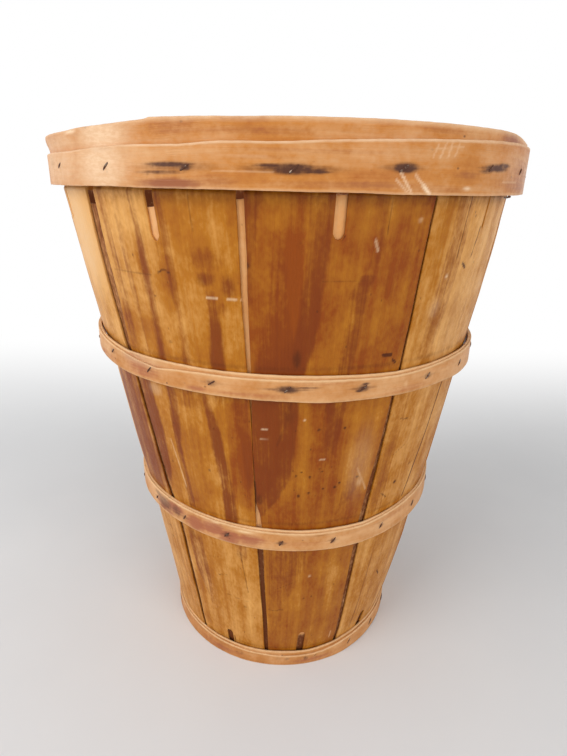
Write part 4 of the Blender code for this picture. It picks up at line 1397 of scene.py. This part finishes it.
# %% Base hoop
BASE_LOOK = {
    "top": [
        (-180, 19.5), (-50, 18.5), (-20, 17.5), (0, 17), (15, 16.5), (22, 18), (33, 20.5), (45, 22),
        (60, 21.5), (180, 19.5)],
    "bottom": [(-180, 0.4), (0, 0.4), (60, 1.2), (180, 0.6)],
    "drop": [(-180, 0.8), (-40, 1.6), (-10, 3.0), (0, 4.2), (20, 4.6), (40, 3.0), (180, 0.8)],
    "shifts": (-0.0005, -0.0018),
    "tone": 0.45,
    "staples": all_staples([
        (-55, 10, 0.2, 0.9), (-37, 10, 0.25, 0.9), (-19, 9, 0.35, 1.0), (-1, 9, 0.3, 1.0),
        (16, 9, 0.2, 1.0), (35, 10, 0.15, 1.0), (53, 10, 0.15, 0.9)], 10, 23),
    "heart": [(-30, 6, 14, 5, 0.4), (15, 5, 12, 4, 0.45)],
    "pale": [(-12, 15, 10, 2, 0.3)],
    "grime_and_shade": [(12, 8, 1.5, 3, 0.5), (3, 9, 1.5, 2.5, 0.5), (0, 8, 60, 12, 0.14)],
}
base_band = wall_hoop("base_band", "base_hoop", seed=15, lap=231.0, look=BASE_LOOK)
print("base hoop:", len(base_band.data.polygons), "faces")

# %% [markdown]
# The rim
#
# Three strips grip the staves' ends: a broad one outside, a narrower one over it, whose top edge climbs
# from left to right, and one inside. The broad strip's own top falls away at the left of the front. They
# are drawn and wound as the other hoops are, once round, with a short lap on the narrow one.

# %% Rim lines and builder
RIM_PLY = 0.0023
RIM_GRID = (0.0018, 22)
SCRATCHED_GRID = (0.0013, 32)           # finer on the outer rim hoop, for its scratches
RIM_UNEVENNESS = 0.0007
# pale rim edges: partly worn wood and partly a painted highlight where the top edge catches light
RIM_EDGE_PALING = ((0.93, 0.05), (0.06, 0.05), 0.6)
RIM_EDGE_PALING_SHARE = 0.6
RIM_STAIN_SIZE = (1.8, 2.4)
RIM_GAP = 0.0003                        # between one strip and what it lies on
RIM_SHIFTS = (0.0004, -0.0055)
BROAD_FLARE = 0.0025                    # how far the broad strip's top bends outwards at the left
FLARE_FROM = 0.511
# each strip's top and bottom line, as (degrees, mm) points
BROAD_LINES = (
    [(-180, 527.5), (-80, 524), (-66, 522.5), (-54, 523), (-48, 523.2), (-42, 524.4), (-36, 525),
     (-30, 526), (-25.2, 526.9), (-24.6, 527.8), (45, 527.8), (50, 527.2), (54, 526), (58, 524.6),
     (62, 523.6), (80, 525), (110, 527.5), (180, 527.5)],
    [(-180, 488), (180, 488)])
OUTER_LINES = (
    [(-180, 512), (-66, 509.5), (-45, 510), (-30, 512.5), (-19, 512.5), (-12, 514), (0, 514.2), (9, 516),
     (21.5, 518), (38, 520), (51, 521), (100, 520), (150, 517), (180, 512)],
    [(-180, 486.5), (-60, 486.5), (-35, 487), (10, 486), (25, 485), (50, 485), (120, 486.5), (180, 486.5)])
INNER_LINES = ([(-180, 524), (180, 524)], [(-180, 488), (180, 488)])


def rim_hoop(name, node, seed, start, length, lines, surface, marks, material=rim_wood,
             grid=RIM_GRID, climb=None, flare=0.0):
    """One turn of rim strip. surface is the radius of its outer face."""
    mesh, angle, height, share = strip_sheet(name, seed, start, length, grid, *lines)
    store_marks(mesh, *marks(angle, height, share))
    climb_at, climb_length = climb or (length + 1.0, 1.0)
    piece = bent_strip(mesh, name, hoop_tree, {
        "Start": math.radians(start), "Radius": surface, "Ply": RIM_PLY,
        "Climb at": math.radians(climb_at), "Climb length": math.radians(climb_length),
        "Left shift": RIM_SHIFTS[0], "Right shift": RIM_SHIFTS[1], "Left flare": flare,
        "Flare above": FLARE_FROM, "Unevenness": RIM_UNEVENNESS, "Material": material}, RIM_PLY - PLY_GAP)
    return dress(piece, [node])


print("rim ply:", RIM_PLY * 1000, "mm")

# %% [markdown]
# The rim's marks
#
# Every rim staple that faces the viewer has bled, and the stains are nearly black where the wood stayed
# wet. White scratches run down from the one right of the middle, where something was dragged over the rim,
# and more stand beside it. At the left, a pale patch is painted as the glare of the light from the left on
# the varnish.

# %% Rim marks
rim_staples = all_staples([
    (-52, 500.5, 0.3, 0.6), (-34.5, 499.5, 0.2, 0.5), (-17.7, 499, 0.8, 0.7), (0.2, 499, 1.0, 1.2),
    (18.2, 500.5, 0.9, 0.7), (38.5, 502.5, 0.9, 1.1), (54.5, 502, 0.4, 0.7)], 500, 24)
RIM_STAINS = [
    (-19.5, 499.5, 8.5, 3.6, 0.4), (-20.5, 500.8, 5.2, 1.6, 0.85), (-22.5, 496, 5.0, 1.3, 0.7),
    (0, 499, 4.0, 3.4, 0.95), (0, 499, 9.0, 3.0, 0.55), (-3.5, 500.6, 3.0, 1.4, 0.8),
    (3.5, 497.6, 3.0, 1.4, 0.8), (18.6, 501, 2.6, 3.2, 0.9), (18, 501, 5.0, 2.2, 0.45),
    (41, 503, 4.6, 2.8, 0.9), (44, 505, 3.0, 1.8, 0.8), (37, 500.5, 2.4, 1.6, 0.6),
    (-36, 510, 3.0, 1.0, 0.25), (-58, 503, 3.0, 5.0, 0.3)]
RIM_SCRATCHES = [
    ((17.8, 498), (20, 486.5), 0.8, 0.7), ((20.5, 497), (22.2, 491), 0.8, 0.6),
    ((22.2, 491), (23.5, 486), 1.2, 1.0), ((17, 494), (19.5, 486), 0.7, 0.5),
    ((23.6, 508), (24.4, 515), 0.6, 0.3), ((25.0, 507.5), (26.0, 516), 0.6, 0.35),
    ((26.6, 508), (27.3, 516.5), 0.6, 0.35), ((28.2, 509), (29.0, 516.5), 0.6, 0.3),
    ((24, 513), (30, 514.5), 0.5, 0.25), ((-13, 497.2), (-3, 496.8), 0.5, 0.25),
    ((-12, 506), (-4, 505.6), 0.6, 0.15), ((44, 494), (52, 494.6), 0.6, 0.35),
    ((-45, 493), (-36, 492.6), 0.6, 0.3)]
OUTER_HEART = [
    (-20.5, 489.5, 7, 3.6, 0.95), (-35, 510, 4, 1.8, 0.4), (10, 490.5, 20, 2.5, 0.3),
    (58, 497, 16, 16, 0.45), (5, 509, 16, 2.0, 0.35), (32, 498, 4, 3, 0.35), (-13, 491, 5, 5, 0.4),
    (26, 489, 8, 3, 0.35), (-4, 505, 7, 1.5, 0.3)]
# the wide pale patches at -55 and -36 degrees, here and on the broad strip, are painted glare from the
# light at the left; the small ones are wear
OUTER_WEAR_AND_GLARE = [(32, 489.5, 1.0, 1.2, 0.8), (-55, 499, 12, 16, 0.5), (-36, 500, 7, 20, 0.75)]
BROAD_HEART = [
    (-5, 520, 15, 3, 0.35), (28, 523, 9, 2, 0.35), (-20, 522, 6, 6, 0.35), (48, 523, 6, 5, 0.6)]
BROAD_WEAR_AND_GLARE = [(-45.5, 522, 2.6, 1.6, 0.95), (-55, 517, 10, 6, 0.45), (-36, 519, 7, 14, 0.8)]
INNER_HEART = [(120, 505, 25, 12, 0.4), (-100, 505, 30, 10, 0.4)]
OUTER_TONE, BROAD_TONE, INNER_RIM_TONE = 0.42, 0.36, 0.3
TUCKED_DIRT = (0.7, 0.2, 0.25)          # under the outer strip: share where it ends, its fade and strength


def outer_rim_marks(angle, height, share):
    heart = layer(angle, height, (), OUTER_HEART)
    grime_and_shade = np.maximum(stains_at(angle, height, rim_staples, *RIM_STAIN_SIZE),
                       layer(angle, height, (), RIM_STAINS))
    pale = layer(angle, height, (), OUTER_WEAR_AND_GLARE, RIM_SCRATCHES)
    pale = np.maximum(pale, RIM_EDGE_PALING_SHARE * worn_and_lit_edges(share, *RIM_EDGE_PALING))
    return heart, grime_and_shade, pale, np.full_like(heart, OUTER_TONE)


def broad_rim_marks(angle, height, share):
    heart = layer(angle, height, (), BROAD_HEART)
    pale = layer(angle, height, (), BROAD_WEAR_AND_GLARE)
    pale = np.maximum(pale, RIM_EDGE_PALING_SHARE * worn_and_lit_edges(share, *RIM_EDGE_PALING))
    end, fade, strength = TUCKED_DIRT
    return heart, strength * smooth((end - share) / fade), pale, np.full_like(heart, BROAD_TONE)


def inner_rim_marks(angle, height, share):
    heart = layer(angle, height, (), INNER_HEART)
    pale = 0.5 * worn_and_lit_edges(share, *RIM_EDGE_PALING)
    return heart, 0.15 * (1 - share), pale, np.full_like(heart, INNER_RIM_TONE)


print("rim staples:", len(rim_staples), "and scratches:", len(RIM_SCRATCHES))

# %% [markdown]
# Winding the rim
#
# The broad strip lies on the staves, the outer one on the broad one, and the inner one where the model
# has it. Their butts and their lap are at the back. The outer strip gets smaller cells than the others,
# because its scratches are thin.

# %% Build the rim hoops
broad_surface = RIM_RADIUS + RIM_GAP + RIM_PLY
outer_surface = broad_surface + RIM_GAP + RIM_PLY
inner_surface = min(least for least, _ in radii("inner_rim_hoop").values()) + RIM_PLY
broad_band = rim_hoop("broad_rim_band", "broad_rim_hoop", seed=31, start=162.3, length=359.4,
                      lines=BROAD_LINES, surface=broad_surface, marks=broad_rim_marks, flare=BROAD_FLARE)
outer_band = rim_hoop("outer_rim_band", "outer_rim_hoop", seed=33, start=195.0, length=378.0,
                      lines=OUTER_LINES, surface=outer_surface, marks=outer_rim_marks,
                      grid=SCRATCHED_GRID, climb=(354.0, 8.0))
inner_band = rim_hoop("inner_rim_band", "inner_rim_hoop", seed=35, start=234.3, length=359.4,
                      lines=INNER_LINES, surface=inner_surface, marks=inner_rim_marks,
                      material=inner_wood)
print("rim hoops:", [piece.name for piece in (broad_band, outer_band, inner_band)])

# %% [markdown]
# The base board
#
# A round board closes the foot. It is a turned disc with its grain running straight across, so its UV map
# is simply its own plan. From outside, the staves hide its edge.

# %% Build the base board
BOARD_RINGS = 24
BOARD_SPOKES = 96
BOARD_ROUND = 0.0012                    # height and depth of the rounding at its edges
BOARD_MIDDLE = 0.02                     # share of the radius where the rings stop
BOARD_HEART = (20.0, 0.0, 26.0, 150.0, 0.6)  # one streak of heartwood across it, as a blot in mm
BOARD_DIRT = 0.55
BOARD_TONE = 0.4


def board_profile():
    """(radius, height) points from the middle of the top, over the edge, to the middle of the underside."""
    levels = radii("base_board")
    foot, top = min(levels), max(levels)
    wide, narrow = levels[top][1], levels[foot][1]
    profile = [(share * wide, top) for share in np.linspace(BOARD_MIDDLE, 0.985, BOARD_RINGS)]
    profile += [(wide, top - BOARD_ROUND), (narrow, foot + BOARD_ROUND), (narrow * 0.985, foot)]
    return profile + [(share * narrow, foot) for share in np.linspace(0.94, BOARD_MIDDLE, BOARD_RINGS)]


def board_mesh():
    shape = bmesh.new()
    grain = shape.loops.layers.uv.new("board")
    rings = []
    for radius, level in board_profile():
        turns = [math.tau * k / BOARD_SPOKES for k in range(BOARD_SPOKES)]
        rings.append([shape.verts.new((radius * math.sin(turn), -radius * math.cos(turn), level))
                      for turn in turns])
    for outer, inner in zip(rings, rings[1:]):
        for k in range(BOARD_SPOKES):
            after = (k + 1) % BOARD_SPOKES
            shape.faces.new((outer[k], inner[k], inner[after], outer[after]))
    shape.faces.new(rings[0])
    shape.faces.new(rings[-1])
    bmesh.ops.recalc_face_normals(shape, faces=shape.faces[:])
    for face in shape.faces:
        for corner in face.loops:
            corner[grain].uv = (corner.vert.co.y + 0.4 * corner.vert.co.z, corner.vert.co.x)
    for corner in shape.verts:
        corner.co.x += FOOT_SHIFT * float(smooth(1.0 - corner.co.z / FOOT_FADE))
    mesh = bpy.data.meshes.new("bottom_board")
    shape.to_mesh(mesh)
    shape.free()
    return mesh


def build_base_board():
    mesh = board_mesh()
    mesh.materials.append(board_wood)
    places = np.array([corner.co[:] for corner in mesh.vertices])
    away = np.hypot(places[:, 0], places[:, 1]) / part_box("base_board")[1].x
    heart = blot(places[:, 1] * 1000, places[:, 0] * 1000, BOARD_HEART)
    store_marks(mesh, heart, BOARD_DIRT * smooth((away - 0.8) / 0.2), np.zeros_like(heart),
                np.full_like(heart, BOARD_TONE))
    mesh.shade_smooth()
    mesh.set_sharp_from_angle(angle=SHARP_EDGE)
    return dress(linked("bottom_board", mesh), ["base_board"])


bottom_board = build_base_board()
print("base board:", len(bottom_board.data.polygons), "faces")

# %% [markdown]
# Rusty wire
#
# The staples are soft steel wire, dark with rust, and polished only where hands rub the crowns. A metal
# shader with two noises, one for rust and one for pits, is enough at this size.

# %% Staple material
RUST_SIZE = 420.0                       # patches of rust, and pits, for each metre
PIT_SIZE = 2400.0


def build_wire_material():
    material = bpy.data.materials.new("staple_wire")
    material.use_nodes = True
    material.node_tree.nodes.clear()
    wiring = Wiring(material.node_tree)
    place = wiring.add("ShaderNodeTexCoord").outputs["Object"]
    rust = wiring.ramp(wiring.noise(wiring.stretch(place, *[RUST_SIZE] * 3), 3.0), 0.34, 0.52)
    pits = wiring.noise(wiring.stretch(place, *[PIT_SIZE] * 3), 2.0)
    colour = wiring.mix(rust, paint(128, 112, 98), paint(84, 50, 34))
    bump = wiring.add("ShaderNodeBump", {"Strength": 0.5, "Distance": 0.0001, "Height": pits})
    shader = wiring.add("ShaderNodeBsdfPrincipled", {
        "Base Color": colour, "Metallic": wiring.ramp(rust, 0.0, 1.0, 0.9, 0.15),
        "Roughness": wiring.ramp(rust, 0.0, 1.0, 0.38, 0.8), "Normal": bump.outputs[0]})
    wiring.add("ShaderNodeOutputMaterial", {0: shader.outputs[0]})
    return material


staple_wire = build_wire_material()
print("wire material:", staple_wire.name)

# %% [markdown]
# Staples
#
# Eighty staples all slant the same way, but none is quite like the next. Geometry Nodes bend one wire as a
# curve, sweep a circle along it, and set a copy on each point of a list, turned to face outwards and
# slanted with a little seeded scatter.

# %% Staple tree
CROWN = 0.0092
WIRE = 0.0014
PROUD = 0.0002                          # how far a crown stands out of the wood
LEG_SHARE = 1.6                         # a leg's length, in wire thicknesses
SCATTER_SEED = 4


def build_staple_tree():
    tree, wiring, entry = geometry_tree("set_staples", ["Crown", "Wire", "Proud", "Slant", "Scatter"])
    half = wiring.math("DIVIDE", entry["Crown"], 2.0)
    leg = wiring.times(entry["Wire"], LEG_SHARE)
    lift = wiring.point(y=wiring.math("DIVIDE", wiring.total(leg, entry["Proud"]), -0.75))
    wire = wiring.add("GeometryNodeCurvePrimitiveBezierSegment", {
        "Start": wiring.point(wiring.times(half, -1.0), leg), "Start Handle": lift, "End Handle": lift,
        "End": wiring.point(half, leg), "Resolution": 10}, mode="OFFSET")
    ring = wiring.add("GeometryNodeCurvePrimitiveCircle", {"Resolution": 7})
    wiring.feed(ring.inputs["Radius"], wiring.math("DIVIDE", entry["Wire"], 2.0))
    sweep = wiring.add("GeometryNodeCurveToMesh", {
        "Curve": wire.outputs[0], "Profile Curve": ring.outputs[0], "Fill Caps": True})
    facing = wiring.add("GeometryNodeInputNamedAttribute", {"Name": "facing"}, data_type="FLOAT")
    scatter = wiring.add("FunctionNodeRandomValue", {"Seed": SCATTER_SEED}, data_type="FLOAT")
    wiring.feed(scatter.inputs[2], wiring.times(entry["Scatter"], -1.0))
    wiring.feed(scatter.inputs[3], entry["Scatter"])
    slant = wiring.total(entry["Slant"], scatter.outputs[1])
    copies = wiring.add("GeometryNodeInstanceOnPoints", {
        "Points": entry["Geometry"], "Instance": sweep.outputs[0],
        "Rotation": wiring.point(y=slant, z=facing.outputs[0])})
    close_tree(wiring, copies.outputs[0], entry["Material"])
    return tree


staple_tree = build_staple_tree()
print("staple tree:", len(staple_tree.nodes), "nodes")

# %% [markdown]
# Driving the staples
#
# Each set stands on its own hoop's outer face, at the places where the stains were painted. One stray wire
# end sticks out below the rim at the right.

# %% Place the staples
STAPLE_SCATTER = math.radians(8.0)
BASE_PROUD = -0.0008                    # the base hoop's staples have sunk into the wood
STRAY_DEPTH = 0.001                     # how far the stray wire stands out from the broad strip


def side_push(place, shifts):
    """How far the hoop tree moves a hoop out at an angle in degrees, for its left and right shifts."""
    sideways = math.sin(math.radians(place))
    reach = SIDE_FULL - SIDE_STARTS
    left, right = (float(smooth((side * sideways - SIDE_STARTS) / reach)) for side in (-1, 1))
    return left * shifts[0] + right * shifts[1]


def staple_set(name, staples, slant, surface, shifts, nodes=(), proud=PROUD):
    """Staples, each with its place and height first, slanted by some degrees, on a hoop's outer face."""
    mesh = bpy.data.meshes.new(name)
    corners = []
    for place, level, *_ in staples:
        radius, turn = surface + side_push(place, shifts), math.radians(place)
        corners.append((radius * math.sin(turn), -radius * math.cos(turn), level / 1000))
    mesh.from_pydata(corners, [], [])
    facing = mesh.attributes.new("facing", "FLOAT", "POINT")
    facing.data.foreach_set("value", [math.radians(staple[0]) for staple in staples])
    item = linked(name + "_points", mesh)
    run_tree(item, staple_tree, {
        "Crown": CROWN, "Wire": WIRE, "Proud": proud, "Slant": math.radians(-slant),
        "Scatter": STAPLE_SCATTER, "Material": staple_wire})
    return dress(plain_mesh(item, name), nodes)


wires = [
    staple_set("rim_staples", rim_staples, 35.0, outer_surface, RIM_SHIFTS,
               [f"rim_staple_{number:02d}" for number in range(1, 21)]),
    staple_set("upper_staples", UPPER_LOOK["staples"], 40.0, hoop_surface("upper_hoop"),
               UPPER_LOOK["shifts"]),
    staple_set("lower_staples", LOWER_LOOK["staples"], 52.0, hoop_surface("lower_hoop"),
               LOWER_LOOK["shifts"]),
    staple_set("base_staples", BASE_LOOK["staples"], 45.0, hoop_surface("base_hoop"),
               BASE_LOOK["shifts"], proud=BASE_PROUD),
    staple_set("stray_wire", [(50.5, 483.9)], 8.0, broad_surface + STRAY_DEPTH, RIM_SHIFTS)]
print("staple faces:", [len(piece.data.polygons) for piece in wires])

# %% [markdown]
# The floor
#
# A plain, pale sheet curves up behind the basket, as in a small photo studio, so there is no horizon line.
# It is a flat profile extruded sideways, and it keeps the basket's soft shadow. Further back it fades to
# plain white, but only for rays that look at it, so that it gives no more light than paper would.

# %% Studio floor
FLOOR_FRONT = -3.0
FLOOR_BACK = 2.2
SWEEP_RADIUS = 1.2
SWEEP_STEPS = 12
BACK_HEIGHT = 4.0
FLOOR_HALF = 5.0
GREY_UNTIL = 0.22                       # depth behind the basket where the floor starts to fade to white
WHITE_FROM = 1.1
PAPER = ((0.74, 0.745, 0.755, 1.0), (0.80, 0.805, 0.81, 1.0))


def seen_directly(wiring):
    """1 for rays that look at a surface, straight or in a reflection, and 0 for rays that carry light."""
    path = wiring.add("ShaderNodeLightPath").outputs
    return wiring.math("MAXIMUM", path["Is Camera Ray"],
                       wiring.math("MAXIMUM", path["Is Glossy Ray"], path["Is Transmission Ray"]))


def build_paper():
    material = bpy.data.materials.new("floor_paper")
    material.use_nodes = True
    wiring = Wiring(material.node_tree)
    shader = material.node_tree.nodes["Principled BSDF"]
    place = wiring.add("ShaderNodeTexCoord").outputs["Object"]
    mottle = wiring.noise(wiring.stretch(place, 6.0, 6.0, 6.0), 3.0)
    wiring.feed(shader.inputs["Base Color"], wiring.mix(mottle, *PAPER))
    shader.inputs["Roughness"].default_value = 0.85
    white = wiring.add("ShaderNodeEmission", {"Strength": 1.0})
    fade = wiring.times(seen_directly(wiring), wiring.ramp(wiring.axes(place)["Y"], GREY_UNTIL, WHITE_FROM))
    both = wiring.add("ShaderNodeMixShader", {0: fade, 1: shader.outputs[0], 2: white.outputs[0]})
    wiring.feed(material.node_tree.nodes["Material Output"].inputs["Surface"], both.outputs[0])
    return material


def build_floor():
    profile = [(FLOOR_FRONT, 0.0)]
    for step in range(SWEEP_STEPS + 1):
        turn = math.radians(90.0 * step / SWEEP_STEPS)
        profile.append((FLOOR_BACK + SWEEP_RADIUS * math.sin(turn), SWEEP_RADIUS * (1 - math.cos(turn))))
    profile.append((FLOOR_BACK + SWEEP_RADIUS, BACK_HEIGHT))
    corners = [(side * FLOOR_HALF, depth, level) for depth, level in profile for side in (-1, 1)]
    faces = [(2 * k, 2 * k + 1, 2 * k + 3, 2 * k + 2) for k in range(len(profile) - 1)]
    mesh = bpy.data.meshes.new("studio_floor")
    mesh.from_pydata(corners, [], faces)
    mesh.shade_smooth()
    mesh.materials.append(build_paper())
    floor = linked("studio_floor", mesh)
    return floor


studio_floor = build_floor()
print("floor:", studio_floor.name)

# %% [markdown]
# Light
#
# The basket stands in soft daylight that is strongest from the left. A pale world gives the even part, and
# three large lamps give the direction and the long, soft highlight on the varnish. Their sum is set so that
# a colour renders about as it is written.

# %% Lamps and world
MIDDLE = (0.0, 0.0, HEIGHT / 2)
DAYLIGHT = 0.55


def soft_lamp(name, place, width, power):
    """A square lamp that points at the middle of the basket."""
    lamp = bpy.data.lights.new(name, "AREA")
    lamp.shape = "RECTANGLE"
    lamp.size, lamp.size_y = width, width
    lamp.energy = power
    item = linked(name, lamp)
    item.location = place
    item.rotation_euler = (Vector(MIDDLE) - Vector(place)).to_track_quat("-Z", "Y").to_euler()
    return item


def build_world(strength):
    """A white world of one strength as a light, and full white where it is looked at."""
    world = bpy.data.worlds.new("soft_daylight")
    world.use_nodes = True
    wiring = Wiring(world.node_tree)
    shade = world.node_tree.nodes["Background"]
    shade.inputs["Color"].default_value = (1.0, 1.0, 1.0, 1.0)
    seen = wiring.times(seen_directly(wiring), 1.0 - strength)
    wiring.feed(shade.inputs["Strength"], wiring.total(seen, strength))
    bpy.context.scene.world = world


build_world(DAYLIGHT)
lamps = [soft_lamp("window", (-1.5, -1.3, 1.25), 1.4, 21.0),
         soft_lamp("left_panel", (-1.6, -0.1, 0.55), 1.2, 4.0),
         soft_lamp("fill", (1.2, -1.6, 0.9), 1.2, 14.0)]
print("lamps:", [item.name for item in lamps])

# %% [markdown]
# Camera
#
# The picture was taken from close by and a little above the middle, so the basket tapers strongly and its
# rim is nearly level. The lens follows from the picture's long side, and the small roll is the hand that
# held it.

# %% Camera
FOCAL_PIXELS = 524.0                    # in a picture that is 756 pixels high
PICTURE_HEIGHT = 756.0
SENSOR = 36.0
CAMERA_PLACE = (-0.0033, -0.557, 0.4907)
PITCH_DOWN = math.radians(20.36)
ROLL = math.radians(1.02)


def build_camera():
    data = bpy.data.cameras.new("camera")
    data.sensor_width = SENSOR
    data.lens = SENSOR * FOCAL_PIXELS / PICTURE_HEIGHT
    data.clip_start = 0.01
    item = linked("camera", data)
    item.matrix_world = (Matrix.Translation(CAMERA_PLACE)
                         @ Matrix.Rotation(math.pi / 2 - PITCH_DOWN, 4, "X")
                         @ Matrix.Rotation(ROLL, 4, "Z"))
    bpy.context.scene.camera = item
    return item


camera = build_camera()
bpy.context.scene.view_settings.view_transform = "Standard"
print(f"camera: {camera.data.lens:.2f} mm lens")

# %% [markdown]
# Last update
#
# The view layer is brought up to date once more. The dressed basket has to keep the
# model's box.

# %% Finish
bpy.context.view_layer.update()
